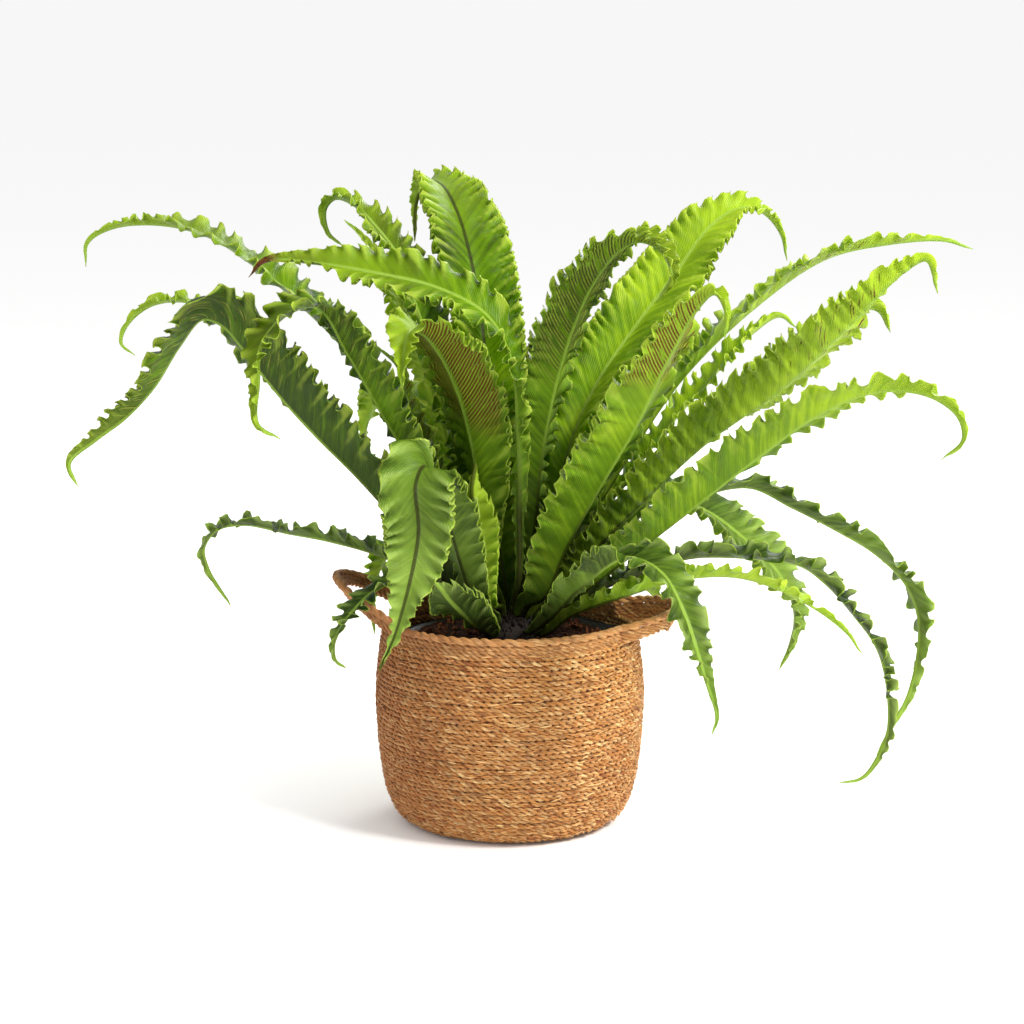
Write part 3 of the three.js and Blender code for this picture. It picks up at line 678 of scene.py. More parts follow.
class Finish(Tree):
    """A material's node tree, which starts from one colour and lays others over it."""

    def __init__(self, name, roughness, base, **constants):
        self.base = base
        self.material = bpy.data.materials.new(name)
        self.material.use_nodes = True
        super().__init__(self.material.node_tree)
        self.shader = self.nodes.nodes["Principled BSDF"]
        self.shader.inputs["Roughness"].default_value = roughness
        for label, value in constants.items():
            self.shader.inputs[label.replace("_", " ")].default_value = value

    def attribute(self, name):
        return self.node("ShaderNodeAttribute", output="Fac", settings={"attribute_name": name})

    def place(self):
        """Object coordinates."""
        return self.node("ShaderNodeTexCoord", output="Object", vector=True)

    def map(self, name):
        """The x and y of a UV map, in metres."""
        spot = self.node("ShaderNodeUVMap", vector=True, settings={"uv_map": name})
        return [self.node("ShaderNodeSeparateXYZ", output=axis, Vector=spot) for axis in ("X", "Y")]

    def mix(self, share, first, second):
        """Colour first where share is 0, and second where it is 1."""
        made = self.nodes.nodes.new("ShaderNodeMix")
        made.data_type = "RGBA"
        self.plug(made.inputs["Factor"], share)
        for socket, colour in zip((made.inputs[6], made.inputs[7]), (first, second)):
            self.plug(socket, colour if isinstance(colour, Field) else (*linear(colour), 1))
        return Field(self, made.outputs[2], True)

    def bump(self, height, distance, strength=1.0):
        """Feeds a height, as a share of the distance in metres, to the shader's normal."""
        normal = self.node("ShaderNodeBump", Height=height, Distance=distance, Strength=strength)
        self.plug(self.shader.inputs["Normal"], normal)

    def coat(self, share, colour):
        """Lays a colour over what is there, as far as share says."""
        self.base = self.mix(share, self.base, colour)

    def done(self):
        """The material, with its colour on the shader."""
        self.plug(self.shader.inputs["Base Color"], self.base)
        return self.material


# %% Leaf finish
VEIN_PITCH = 0.0021
VEIN_LEAN = 0.95
SORI_PITCH = 0.0037
PATCH_SCALE, STREAKS_ACROSS, STREAKS_ALONG = 14.0, 170.0, 20.0
PATCH_WEIGHT, STREAK_WEIGHT, LEVEL_DROP = 1.35, 0.95, 1.15
RELIEF = 0.0009
SUNLIT, PLEAT_PAINTED_LIGHT = (0.66, 0.76, 0.16), (0.76, 0.83, 0.32)
CROWN_PAINTED_SHADE, UNDERSIDE, MARGIN_PALE = (0.05, 0.14, 0.0), (0.6, 0.7, 0.34), (0.74, 0.85, 0.32)
SPORE_GROUND, SPORE_OLIVE, SPORE_BROWN = (0.6, 0.66, 0.26), (0.26, 0.26, 0.1), (0.37, 0.16, 0.06)
RIB_BROWN, RIB_OLIVE, RIB_PALE = (0.15, 0.08, 0.045), (0.17, 0.19, 0.05), (0.56, 0.68, 0.26)
DRY_BROWN = (0.42, 0.24, 0.14)
SHADE_LIT, SHADE_PLEAT_PAINTED_LIGHT = (0.58, 0.68, 0.3), (0.69, 0.78, 0.42)


def veins(finish, forward, pitch, sharpness):
    """1 on lines that run forward from the midrib, a pitch apart."""
    return (finish.math("SINE", forward / pitch * math.tau) * 0.5 + 0.5) ** sharpness


def sori_cover(finish, forward, y, share, across, amount, tone, patches):
    """The rows of spore cases and the zone round them. A higher amount makes more rows, and wider."""
    spots = veins(finish, forward, SORI_PITCH, 1.0)
    ragged = finish.noise(finish.combine(forward / SORI_PITCH, y * 60.0), 1.0)
    kept = finish.blend(ragged + amount * 0.3, 0.62, 0.7)
    width = spots + amount * 0.27 + (ragged - 0.5) * 0.4
    zone = finish.blend(across, 0.04, 0.1) * finish.blend(across, 0.9, 0.74)
    young = finish.blend(tone, 0.42, 0.52) * 0.14
    zone = zone * finish.blend(share + patches * 0.2 - young, 0.58, 0.66)
    zone = zone * finish.blend(share, 0.92, 0.84) * kept * finish.blend(amount, 0.0, 0.15)
    return finish.blend(width, 0.64, 0.8) * zone, zone


def leaf_finish(name, dark, mid, light, lit=SUNLIT, pleat_painted_light=PLEAT_PAINTED_LIGHT):
    """Three greens by tone, patches and streaks, then one coat for each thing that a leaf shows."""
    finish = Finish(name, 0.36, dark, Subsurface_Weight=0.12, Subsurface_Radius=(0.5, 0.9, 0.06),
                    Subsurface_Scale=0.004, Specular_IOR_Level=0.1)
    along, y = finish.map("blade_uv")
    distance = finish.math("ABSOLUTE", y)
    across = finish.math("ABSOLUTE", finish.attribute("across"))
    share, tone, under, crest = [finish.attribute(key) for key in ("share", "tone", "under", "crest")]
    place = finish.place()
    patches = finish.noise(place, PATCH_SCALE, 3.0)
    forward = along - distance * VEIN_LEAN
    spot = finish.combine(forward * STREAKS_ACROSS, distance * STREAKS_ALONG)
    streaks = finish.noise(spot, 1.0, 3.0)
    # Through the tone, the level also carries painted shade for the fronds that lie in shadow.
    level = tone + patches * PATCH_WEIGHT + streaks * STREAK_WEIGHT - LEVEL_DROP
    finish.coat(finish.blend(level, -0.1, 0.5), mid)
    finish.coat(finish.blend(level, 0.45, 1.05), light)
    line = veins(finish, forward, VEIN_PITCH, 3.0)
    clear = finish.blend(streaks, 0.3, 0.7) * finish.blend(tone, -0.3, 0.5)
    finish.coat(line * clear * (under * 0.3 + 0.15), light)
    # Painted light and shade on the folds: the ruffles' crests lighter and their troughs darker.
    finish.coat(finish.blend(crest, 0.1, 0.9) * 0.42, pleat_painted_light)
    finish.coat(finish.blend(crest, 0.0, -0.8) * 0.5, dark)
    finish.coat(finish.blend(share + tone * 0.4, 0.66, 1.2) * 0.5, lit)
    # Painted shade: the blade darkens towards its stalk, deep among the other fronds at the crown.
    finish.coat(finish.blend(share, 0.36, 0.02) * 0.8, CROWN_PAINTED_SHADE)
    finish.coat(under * 0.08, UNDERSIDE)
    amount = finish.attribute("sori") * under
    sori, zone = sori_cover(finish, forward, y, share, across, amount, tone, patches)
    finish.coat(zone * 0.4, SPORE_GROUND)
    finish.coat(sori * 0.9, finish.mix(finish.blend(tone, 0.26, 0.34), SPORE_OLIVE, SPORE_BROWN))
    finish.coat(finish.blend(across, 0.93, 1.0) * 0.6, MARGIN_PALE)
    rib = finish.blend(distance, 0.0025 + under * 0.0006, 0.0012)
    rib_dark = finish.mix(finish.noise(place, 50.0), RIB_BROWN, RIB_OLIVE)
    grown_up = finish.blend(share - finish.attribute("rib"), 0.2, 0.46)
    finish.coat(rib * 0.8, finish.mix(grown_up, rib_dark, RIB_PALE))
    finish.coat(finish.blend(share, 0.93, 0.96) * finish.attribute("dry"), DRY_BROWN)
    rough = finish.noise(place, 60.0) * 0.2 + 0.2 + under * 0.12
    finish.plug(finish.shader.inputs["Roughness"], rough)
    grain = line * 0.5 + streaks * 0.6 + finish.noise(place, 420.0, 2.0) * 0.3 + sori * 1.1
    finish.bump(grain, RELIEF, 0.8)
    return finish.done()


leaf_green = leaf_finish("frond_green", (0.08, 0.18, 0.0), (0.33, 0.48, 0.0), (0.62, 0.74, 0.12))
leaf_pale = leaf_finish("frond_pale", (0.24, 0.42, 0.0), (0.48, 0.63, 0.05), (0.72, 0.81, 0.26))
# A copy of the leaf finish with greyer greens, as painted shade for the low fronds.
leaf_shade = leaf_finish("frond_green_shaded", (0.08, 0.16, 0.03), (0.35, 0.46, 0.12), (0.6, 0.7, 0.3),
                         SHADE_LIT, SHADE_PLEAT_PAINTED_LIGHT)
print("leaf finishes:", leaf_green.name, leaf_pale.name, leaf_shade.name)

# %% Grow every frond
PALE_FRONDS = ("front_pale", "centre_back", "left_back_pale", "right_front_light")
SHADED_FRONDS = ("front_hanging", "left_low", "left_over_handle", "right_dark", "right_far_arc",
                 "right_hanging", "front_right_droop", "front_left_low")
SEED_STEP = 1.7


def leaf_of(frond):
    """A frond's slot and finish: pale on young ones, and a copy with painted shade on the low ones in
    shadow.
    """
    if frond.name in PALE_FRONDS:
        return "frond_pale", leaf_pale
    return "frond_green", leaf_shade if frond.name in SHADED_FRONDS else leaf_green


def grow_frond(number, frond):
    node = "frond_" + frond.name
    slot, material = leaf_of(frond)
    values = {"Wave Length": frond.wave * MM, "Tone": frond.tone, "Sori": frond.sori, "Dry Tip": frond.dry,
              "Dark Rib": frond.rib, "Wave Growth": frond.growth, "Hook": frond.hook,
              "Seed": SEED_STEP * number, "Material": material}
    piece = grown(node + "_leaf", blade_path(frond, node), frond_tree, values)
    return dress(piece, slot, node)


frond_triangles = [grow_frond(number, frond) for number, frond in enumerate(FRONDS)]
print("fronds:", len(frond_triangles), "triangles:", sum(frond_triangles), "largest:", max(frond_triangles))

# %% [markdown]
# The basket is coiled: a thin rope of twisted seagrass goes round and round, each turn sewn to the
# one below, and it closes in a spiral underneath. Its wall swells in the middle and draws in at the
# rim. One tree twists a rope along any line, so it makes the wall, the underside, the rim and the
# handles. The outline is the frame's own, repeated here so that the ropes lie in the solid's wall.

# %% The basket's outline
BASKET_OUTLINE = [[92, 0], [105, 9], [114, 26], [119, 48], [123, 84], [124.5, 125], [122, 155],
                  [118.5, 180]]
ROPE_RADIUS = 2.9
ROW_PITCH = 4.5
FLOOR_GAP = 0.8
OUTLINE_STEP = 0.5


def wall_rows():
    """[radius, height] of the middle of each rope of the wall, from the bottom up."""
    outline, marks = evenly(smooth_line(BASKET_OUTLINE), OUTLINE_STEP)
    tangents = np.gradient(outline, axis=0)
    tangents /= np.linalg.norm(tangents, axis=1)[:, None]
    inwards = np.stack([-tangents[:, 1], tangents[:, 0]], 1)
    middle_line = outline + inwards * ROPE_RADIUS
    count = int((marks[-1] - 2 * ROPE_RADIUS) / ROW_PITCH)
    heights = np.linspace(ROPE_RADIUS + FLOOR_GAP, marks[-1] - ROPE_RADIUS, count + 1)
    return [[np.interp(mark, marks, middle_line[:, axis]) for axis in (0, 1)] for mark in heights]


rows = wall_rows()
print("ropes up the wall:", len(rows))

# %% The twisted rope tree
PAIR_TURN = 0.37  # each rope starts its twist a part of a turn later
THINNEST, SWELLING = 0.45, 1.2


def rope_tree():
    tree = GeometryTree("twisted rope", {
        "Strands": 2, "Strand Radius": 0.0015, "Twist Radius": 0.0013, "Twist Pitch": 0.0135,
        "Step": 0.0025, "Sides": 5, "Unevenness": 0.5, "Slackness": 2.2, "Seed": 0, "Material": None})
    curve = tree.make("MeshToCurve", Mesh=tree["Geometry"])
    curve = tree.make("ResampleCurve", settings={"mode": "LENGTH"}, Curve=curve, Length=tree["Step"])
    curve = tree.make("SetCurveNormal", settings={"mode": "Z_UP"}, Curve=curve)
    length = tree.make("SplineLength")
    strands = tree.make("DuplicateElements", settings={"domain": "SPLINE"}, Geometry=curve,
                        Amount=tree["Strands"])
    strand = strands.beside("Duplicate Index")
    share = tree.make("SplineParameter")
    spline = tree.make("FieldOnDomain", settings={"domain": "CURVE", "data_type": "INT"},
                       Value=tree.make("InputIndex"))
    random = tree.random(tree["Seed"], ID=spline)
    turns = tree.math("ROUND", length / tree["Twist Pitch"])
    pair = tree.math("FLOOR", spline / tree["Strands"])
    angle = (share * turns + strand / tree["Strands"] + pair * PAIR_TURN) * math.tau
    place = tree.position()
    angle = angle + tree.noise(place + tree.combine(pair), 60.0) * tree["Slackness"]
    normal, tangent = tree.normal(), tree.make("InputTangent", vector=True)
    sideways = tree.vector_math("CROSS_PRODUCT", tangent, normal)
    circle = normal * tree.math("COSINE", angle) + sideways * tree.math("SINE", angle)
    noise = tree.noise(place + tree.combine(random * 9.0, pair), 90.0)
    uneven = noise * tree["Unevenness"] * 2.0 + 1.0 - tree["Unevenness"]
    strands = tree.make("SetPosition", Geometry=strands, Offset=circle * (tree["Twist Radius"] * uneven))
    strands = tree.store(strands, "strand", random)
    strands = tree.store(strands, "rope_along", share * length)
    ring = tree.make("CurvePrimitiveCircle", Resolution=tree["Sides"], Radius=tree["Strand Radius"])
    ring = tree.store(ring, "rope_around", tree.make("SplineParameter"))
    swell = tree.make("SetCurveRadius", Curve=strands, Radius=noise * SWELLING + THINNEST)
    tube = tree.make("CurveToMesh", Curve=swell, Profile_Curve=ring, Fill_Caps=True)
    return tree.finish(tube)


twisted_rope = rope_tree()
print("twisted rope tree:", len(twisted_rope.nodes.nodes), "nodes")

# %% [markdown]
# Dried seagrass is a golden tan, with straw-coloured and reddish-brown stalks among it, so every
# strand has a colour of its own and changes along its length. Fine fibres run along each strand. They
# follow the strand, because the tree writes how far along and how far round it each point is.

# %% Seagrass finish
FIBRE_BROWN = (0.36, 0.2, 0.08)
BLOTCHES, FIBRES, REDS = 60.0, 120.0, 45.0  # to a metre of strand


def seagrass_finish(name, tan, straw, brown):
    """Tan strands with straw and brown stalks among them, and painted shade that browns the left of the
    basket.
    """
    finish = Finish(name, 0.72, tan)
    place = finish.place()
    along, around, strand = [finish.attribute(key) for key in ("rope_along", "rope_around", "strand")]
    blotches = finish.noise(finish.combine(along * BLOTCHES, strand * 90.0), 1.0, 3.0)
    fibres = finish.noise(finish.combine(along * FIBRES, around * 9.0, strand * 40.0), 1.0, 3.0)
    wide = finish.noise(place, 9.0, 2.0)
    finish.coat(finish.blend(blotches, 0.42, 0.72), straw)
    red = finish.noise(finish.combine(along * REDS, strand * 70.0, 5.0), 1.0)
    finish.coat(finish.blend(red, 0.5, 0.75) * 0.85, brown)
    # Painted shade: the left of the basket, away from the key light, is browner.
    x = finish.node("ShaderNodeSeparateXYZ", output="X", Vector=place)
    finish.coat(finish.blend(x + wide * 0.06, 0.07, -0.1) * 0.55, brown)
    finish.coat(finish.blend(wide, 0.4, 0.7) * 0.3, brown)
    finish.coat(finish.blend(fibres, 0.5, 0.64) * 0.7, FIBRE_BROWN)
    finish.bump(fibres * 0.8 + finish.noise(place, 900.0, 2.0) * 0.4, 0.0007, 0.9)
    return finish.done()


seagrass = seagrass_finish("seagrass", (0.78, 0.54, 0.27), (0.98, 0.83, 0.57), (0.55, 0.28, 0.1))
braid = seagrass_finish("braided_seagrass", (0.74, 0.52, 0.28), (0.88, 0.7, 0.46), (0.56, 0.33, 0.16))
print("seagrass finishes:", seagrass.name, braid.name)

# %% Rings of rope
RING_POINTS = 72
ROW_WAVER = 0.45


def round_point(radius, angle, height):
    """A point in metres, from its distance to the axis and its height in mm."""
    return (radius * math.cos(angle) * MM, radius * math.sin(angle) * MM, height * MM)


def rings_mesh(name, circles, seed):
    """Closed rings of [radius, height] in mm, each a little uneven."""
    draw = np.random.default_rng(seed)
    angles = np.linspace(0, math.tau, RING_POINTS, endpoint=False)
    points, edges = [], []
    for radius, height in circles:
        waver = sum(np.sin(angles * wave + draw.uniform(0, math.tau)) * draw.uniform(0, ROW_WAVER)
                    for wave in (2, 5, 9))
        start = len(points)
        points += [round_point(radius + shift / 2, angle, height + shift)
                   for angle, shift in zip(angles, waver)]
        edges += [(start + i, start + (i + 1) % RING_POINTS) for i in range(RING_POINTS)]
    return lines_mesh(name, points, edges)


SPLIT_ROW = len(rows) // 2
FLOOR_LIFT, FIRST_RING = 1.2, 6
floor_radii = np.arange(FIRST_RING, rows[0][0] - ROW_PITCH / 2, ROW_PITCH)
floor_rows = [[radius, ROPE_RADIUS + FLOOR_LIFT] for radius in floor_radii]
COILS = {
    "basket_coils_lower": (rows[:SPLIT_ROW], {"Seed": 3}),
    "basket_coils_upper": (rows[SPLIT_ROW:], {"Seed": 4}),
    "basket_floor_coils": (floor_rows, {"Seed": 5, "Step": 0.003, "Sides": 4}),
}
for name, (circles, values) in COILS.items():
    start = rings_mesh(name, circles, values["Seed"])
    coils = grown(name, start, twisted_rope, {**values, "Material": seagrass})
    print(name, "triangles:", dress(coils, "seagrass", "basket_body"))

# %% [markdown]
# Looking between two ropes, one sees more seagrass, not daylight. A thin dark sheet in the middle of
# the wall stands for those inner stalks; its dark brown is painted shade, as they lie in the ropes'
# shadow. It is turned from the same outline, as the lining film, the nursery pot and the soil are, so
# one function turns them all.

# %% Turning an outline
def turned(name, outline, segments=96, shape=None):
    """A closed mesh made by turning [radius, height] points in mm about the basket's axis."""
    builder = bmesh.new()
    rings = []
    for radius, height in outline:
        if radius == 0:
            rings.append([builder.verts.new((0, 0, height * MM))] * segments)
            continue
        ring = []
        for step in range(segments):
            angle = math.tau * step / segments
            r, z = shape(radius, height, angle) if shape else (radius, height)
            ring.append(builder.verts.new(round_point(r, angle, z)))
        rings.append(ring)
    for lower, upper in zip(rings, rings[1:]):
        for step in range(segments):
            after = (step + 1) % segments
            corners = [lower[step], lower[after], upper[after], upper[step]]
            builder.faces.new(list(dict.fromkeys(corners)))
    bmesh.ops.recalc_face_normals(builder, faces=builder.faces)
    for face in builder.faces:
        face.smooth = True
    mesh = bpy.data.meshes.new(name)
    builder.to_mesh(mesh)
    builder.free()
    return link_mesh(name, mesh)


def shell(outline, thickness):
    """An outline for a wall of that thickness, from the axis up the outside and down the inside."""
    line = np.array(outline, float)
    inner = line[::-1] - [thickness, 0]
    bottom, (radius, height) = line[0][1], inner[-1]
    return [[0, bottom], *line.tolist(), *inner[:-1].tolist(), [radius, height + thickness],
            [0, bottom + thickness]]


def mottled(name, roughness, dark, light, scale, detail, depth=0, strength=1.0, edges=(0.35, 0.7),
            grain=None, **constants):
    """A finish that a noise takes from one colour to another. The noise, or a finer one, makes relief."""
    finish = Finish(name, roughness, dark, **constants)
    place = finish.place()
    shade = finish.noise(place, scale, detail)
    if depth:
        finish.bump(finish.noise(place, grain, detail) if grain else shade, depth, strength)
    finish.coat(finish.blend(shade, *edges) if edges else shade, light)
    return finish.done()


def turned_piece(name, outline, material, slot, node, segments=96, shape=None):
    """Turns an outline, gives it its finish and says what it stands for."""
    piece = turned(name, outline, segments, shape)
    piece.data.materials.append(material)
    print(name, "triangles:", dress(piece, slot, node))


CORE_THICKNESS = 0.8
# The core's dark browns are painted shade between the ropes.
core_finish = mottled("seagrass_core", 0.85, (0.26, 0.15, 0.06), (0.55, 0.36, 0.18),
                      scale=260.0, detail=3.0, depth=0.001)
turned_piece("basket_core", shell(rows, CORE_THICKNESS), core_finish, "seagrass", "basket_body")

# %% [markdown]
# The real wall isn't as tidy as its ropes: ends of stalks and torn strips lie over them, most of them
# paler, nearly level and a centimetre long or less. They are thrown onto the outline's surface at
# random points. Each is a thin spindle laid along the basket's round, with a small random slant, which
# is cheaper than modelling torn ropes and breaks up the rows just as well.

# %% Loose stalks over the ropes
def loose_stalk_tree():
    tree = GeometryTree("loose stalks", {
        "Density": 26000.0, "Length": 0.0045, "Slant": 0.3, "Seed": 12, "Material": None})
    thrown = tree.scatter()
    points = tree.store(thrown, "strand", tree.random(tree["Seed"]))
    slant = tree.random(tree["Seed"] + 1.0) - 0.5
    level = tree.vector_math("CROSS_PRODUCT", (0, 0, 1), thrown.beside("Normal", True))
    level = level + tree.combine(z=slant * tree["Slant"] * 2.0)
    turn = tree.node("FunctionNodeAlignEulerToVector", vector=True, settings={"axis": "X"}, Vector=level)
    size = tree.random_vector(tree["Seed"], (0.5, 0.09, 0.09), (1.5, 0.2, 0.2))
    spindle = tree.make("MeshIcoSphere", Radius=tree["Length"], Subdivisions=1)
    return tree.finish(tree.copies(points, spindle, turn, size))


STALK_INSET, WALL_STEP = 0.5, 4
wall_line = evenly(smooth_line(BASKET_OUTLINE), WALL_STEP)[0][2:]  # without the foot
surface = turned("wall_surface", [[radius - STALK_INSET, height] for radius, height in wall_line], 120)
stalks = grown("loose_stalks", surface.data, loose_stalk_tree(), {"Material": seagrass})
bpy.data.objects.remove(surface)
print("loose stalk triangles:", dress(stalks, "seagrass", "basket_body"))

# %% [markdown]
# On top of the wall sits a band: one thick cord along the edge and thinner ropes under it. At the left
# and the right it leaves the wall and arches out: those are the handles. The arch is the frame's
# formula, and the ropes lie side by side along the band's broad direction. The right handle is pulled
# out like a lip, so more thin ropes hang under it there and the light doesn't come through.

# %% The rim and its handles
WALL_TOP, GAP = 180, 0.3
STRAP_HEIGHT, STRAP_RADIUS = 15, 115.5
ARCH_POWER = 0.8
HANDLES = [
    {"azimuth": 180, "half_span": 34, "reach": 42, "rise": 38, "lean": 35},
    {"azimuth": 0, "half_span": 30, "reach": 37, "rise": 9, "lean": 15},
]
CORD_PLACE = 3.6
BAND_ROPES, LIP_ROPES = (-1.6, -5, -8.2), (-11.4, -14.6, -17.8, -21)
LIP_FROM, LIP_TO = 3, 31
BAND_POINTS, LIP_POINTS = 240, 30


def strap_point(azimuth, broad):
    """A point of the band in metres, so many mm along its broad direction."""
    reach = rise = lean = 0
    for handle in HANDLES:
        away = abs((azimuth - handle["azimuth"] + 180) % 360 - 180)
        if away < handle["half_span"]:
            arch = math.cos(away / handle["half_span"] * math.pi / 2) ** ARCH_POWER
            reach, rise, lean = [handle[key] * arch for key in ("reach", "rise", "lean")]
    tilt = math.radians(lean)
    radius = STRAP_RADIUS + reach + broad * math.sin(tilt)
    height = WALL_TOP + GAP + STRAP_HEIGHT / 2 + rise + broad * math.cos(tilt)
    return round_point(radius, math.radians(azimuth), height)


def strap_mesh(name, places, start, end, count):
    """Lines along the band between two azimuths, closed where they go all the way round."""
    whole = end - start == 360
    points, edges = [], []
    for broad in places:
        first = len(points)
        points += [strap_point(start + (end - start) * i / count, broad) for i in range(count)]
        edges += [(first + i, first + (i + 1) % count) for i in range(count if whole else count - 1)]
    return lines_mesh(name, points, edges)


def band_piece(name, places, start, end, count, **values):
    """Ropes that lie at those places across the band, from one azimuth to the other."""
    line = strap_mesh(name, places, start, end, count)
    piece = grown(name, line, twisted_rope, {"Material": braid, **values})
    print(name, "triangles:", dress(piece, "braid", "basket_rim_and_handles"))


THICK_CORD = {"Strand Radius": 0.0026, "Twist Radius": 0.0013, "Twist Pitch": 0.021, "Step": 0.0018,
              "Sides": 7, "Seed": 8}
band_piece("basket_rim_cord", (CORD_PLACE,), 0, 360, BAND_POINTS, **THICK_CORD)
band_piece("basket_rim_ropes", BAND_ROPES, 0, 360, BAND_POINTS, Seed=9)
band_piece("right_handle_ropes", LIP_ROPES, LIP_FROM, LIP_TO, LIP_POINTS, Seed=10)

# %% [markdown]
# Inside the basket a thin grey film keeps the seagrass dry. Its top edge stands up in loose folds
# round the soil. The plain black nursery pot inside it holds the plant, and is hidden by the film.

# %% Lining film and nursery pot
LOOSE_FROM, LOOSE_TO = 120, 165
FILM_HEIGHTS = (20, 40, 70, 100, 125, 140, 150, 158, 164)
FILM_THICKNESS, FILM_GAP, FILM_FLOOR, FILM_CORNER = 0.7, 1.5, 6.5, 12
POT_BASE, POT_TOP = 7.6, 169.6
POT_OUTLINE = [
    [0, POT_BASE + 4], [58, POT_BASE + 4], [62, POT_BASE], [75.5, POT_BASE], [76, POT_BASE + 1],
    [99.8, 161.6], [103.6, 161.6], [105, 162.6], [105, POT_TOP - 0.6], [104.4, POT_TOP], [99, POT_TOP],
    [74.5, POT_BASE + 6], [0, POT_BASE + 6]]


def film_shape(radius, height, angle):
    """Folds that grow towards the film's top edge."""
    free = smoothstep(height, LOOSE_FROM, LOOSE_TO)
    fold = math.sin(angle * 11 + 2 * math.sin(angle * 3)) + 0.6 * math.sin(angle * 23 + 1)
    lift = 6 * math.cos(angle - 0.6) - 2 + 3 * math.sin(angle * 2 + 0.6) + 2 * math.sin(angle * 7)
    return radius - free * (1.6 + 1.5 * fold), height + free * lift


def basket_inside(height):
    """The radius of the wall's inner side at a height, in mm."""
    radii, heights = zip(*rows)
    return float(np.interp(height, heights, radii)) - ROPE_RADIUS


film_outline = [[basket_inside(height) - FILM_GAP, height] for height in FILM_HEIGHTS]
film_outline.insert(0, [film_outline[0][0] - FILM_CORNER, FILM_FLOOR])
film_finish = mottled("lining_film", 0.32, (0.06, 0.06, 0.06), (0.16, 0.16, 0.16), scale=70.0,
                      detail=4.0, depth=0.002, strength=0.8, Specular_IOR_Level=0.35)
turned_piece("lining_film", shell(film_outline, FILM_THICKNESS), film_finish, "lining", "plastic_liner",
             segments=220, shape=film_shape)
pot_finish = mottled("pot_plastic", 0.5, (0.05, 0.05, 0.05), (0.1, 0.1, 0.1), scale=300.0,
                     detail=2.0, depth=0.0003, strength=0.6, edges=None)
turned_piece("nursery_pot_moulded", POT_OUTLINE, pot_finish, "pot", "nursery_pot", segments=72)

# %% [markdown]
# Potting mix is dark and lumpy, with bits of bark and coir on top. A turned disc with a rough top
# gives the soil its body, and a tree scatters the bark over it: points thrown at random, a rough chip
# on each, turned and scaled by seeded draws.

# %% Soil and bark
LUMPS_FROM, LUMPS_TO = 165, 171
SOIL_OUTLINE = [
    [0, 42], [79, 42], [95.5, 168], [92, 170.5], *[[r, 172] for r in range(88, 0, -4)], [0, 171.5]]
BARK_RADIUS, BARK_HEIGHT = 90, 171.2


def soil_shape(radius, height, angle):
    """Lumps in the top of the soil."""
    lumpy = smoothstep(height, LUMPS_FROM, LUMPS_TO)
    x, y = radius * math.cos(angle), radius * math.sin(angle)
    lump = math.sin(x * 0.31 + 1) * math.cos(y * 0.27) + 0.6 * math.sin(x * 0.73 - y * 0.6)
    return radius, height + lumpy * (1.1 * lump - 1.2)


soil_finish = mottled("potting_soil", 0.95, (0.1, 0.055, 0.035), (0.33, 0.19, 0.12), scale=240.0,
                      detail=4.0, depth=0.003, Specular_IOR_Level=0.08)
turned_piece("soil_body", SOIL_OUTLINE, soil_finish, "soil", "potting_soil", segments=120,
             shape=soil_shape)


def bark_tree():
    tree = GeometryTree("bark chips", {
        "Density": 9000.0, "Chip Size": 0.006, "Lumps": 0.008, "Seed": 4, "Material": None})
    chip = tree.make("MeshIcoSphere", Radius=tree["Chip Size"], Subdivisions=1)
    lump = (tree.noise(tree.position(), 160.0) - 0.5) * tree["Lumps"]
    rough = tree.make("SetPosition", Geometry=chip, Offset=tree.normal() * lump)
    turn = tree.random_vector(tree["Seed"], (0, 0, 0), (math.tau,) * 3)
    size = tree.random_vector(tree["Seed"], (0.25, 0.18, 0.1), (1.1, 0.6, 0.4))
    return tree.finish(tree.copies(tree.scatter(), rough, turn, size))


def soil_patch(name, radius, height, rings=10, segments=48):
    """A flat disc for the tree to throw points at."""
    mesh = bpy.data.meshes.new(name)
    points = [(0, 0, height * MM)]
    faces = []
    for ring in range(1, rings + 1):
        for step in range(segments):
            points.append(round_point(radius * ring / rings, math.tau * step / segments, height))
    for step in range(segments):
        after = (step + 1) % segments
        faces.append((0, 1 + step, 1 + after))
        for ring in range(rings - 1):
            base = 1 + ring * segments
            faces.append((base + step, base + segments + step, base + segments + after, base + after))
    mesh.from_pydata(points, [], faces)
    return mesh


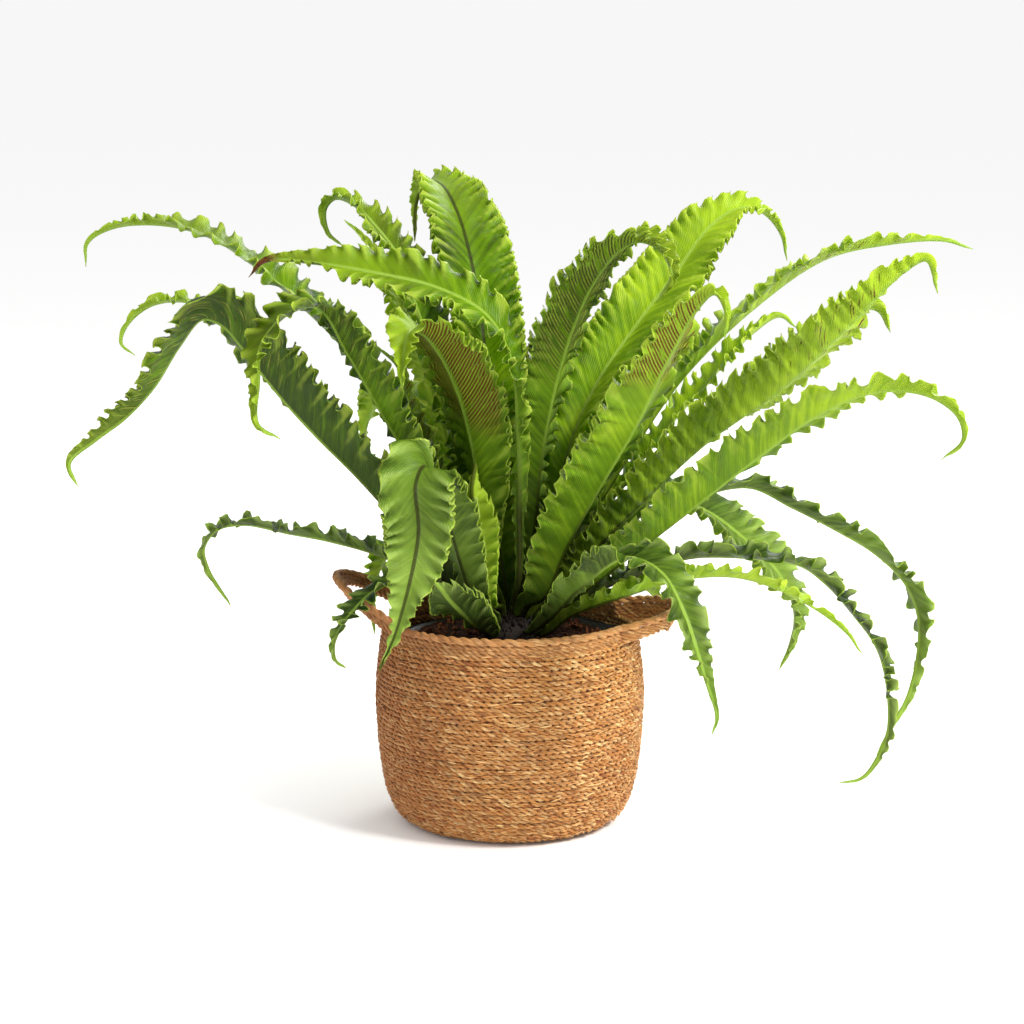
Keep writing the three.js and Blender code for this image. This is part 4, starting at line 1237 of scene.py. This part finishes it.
bark_finish = mottled("bark", 0.9, (0.22, 0.11, 0.065), (0.58, 0.35, 0.22), scale=120.0, detail=3.0,
                      depth=0.001, edges=(0.4, 0.65), grain=700.0, Specular_IOR_Level=0.1)
patch = soil_patch("bark_chips", BARK_RADIUS, BARK_HEIGHT)
bark = grown("bark_chips", patch, bark_tree(), {"Material": bark_finish})
print("bark triangles:", dress(bark, "soil", "potting_soil"))

# %% [markdown]
# All the fronds grow from a short crown, a stub covered in narrow brown scales. Only its dark edge
# shows between the stalks, but it is what the stalks stand in. The scales are thin pointed cones that
# a tree stands on the dome, turned most of the way from its surface to upright.

# %% Crown and its scales
CROWN_RINGS, DOME_RADIUS = 12, 27
UPRIGHT = 0.75


def crown_outline():
    """A dome that starts just above the soil."""
    lowest = math.asin((SOIL_TOP + GAP - CROWN_HEIGHT) / DOME_RADIUS)
    angles = np.linspace(lowest, math.pi / 2, CROWN_RINGS)
    dome = [[DOME_RADIUS * math.cos(a), CROWN_HEIGHT + DOME_RADIUS * math.sin(a)] for a in angles[:-1]]
    return [[0, SOIL_TOP + GAP], *dome, [0, CROWN_HEIGHT + DOME_RADIUS]]


def scale_tree():
    tree = GeometryTree("crown scales", {
        "Density": 60000.0, "Scale Length": 0.009, "Scale Width": 0.0012, "Seed": 6, "Material": None})
    thrown = tree.scatter()
    cone = tree.make("MeshCone", Vertices=4, Radius_Top=0.0, Radius_Bottom=tree["Scale Width"],
                     Depth=tree["Scale Length"])
    turn = tree.node("FunctionNodeAlignEulerToVector", vector=True, settings={"axis": "Z"}, Factor=UPRIGHT,
                     Rotation=thrown.beside("Rotation"), Vector=(0, 0, 1))
    size = tree.random_vector(tree["Seed"], (0.5, 0.3, 0.5), (1.2, 0.6, 1.3))
    return tree.finish(tree.join(tree["Geometry"], tree.copies(thrown, cone, turn, size)))


crown_finish = mottled("crown_scales", 0.85, (0.05, 0.035, 0.02), (0.17, 0.11, 0.06), scale=400.0,
                       detail=2.0, edges=None)
dome = turned("crown_dome", crown_outline(), 48)
crown = grown("crown_scales", dome.data, scale_tree(), {"Material": crown_finish})
bpy.data.objects.remove(dome)
print("crown triangles:", dress(crown, "crown", "fern_crown"))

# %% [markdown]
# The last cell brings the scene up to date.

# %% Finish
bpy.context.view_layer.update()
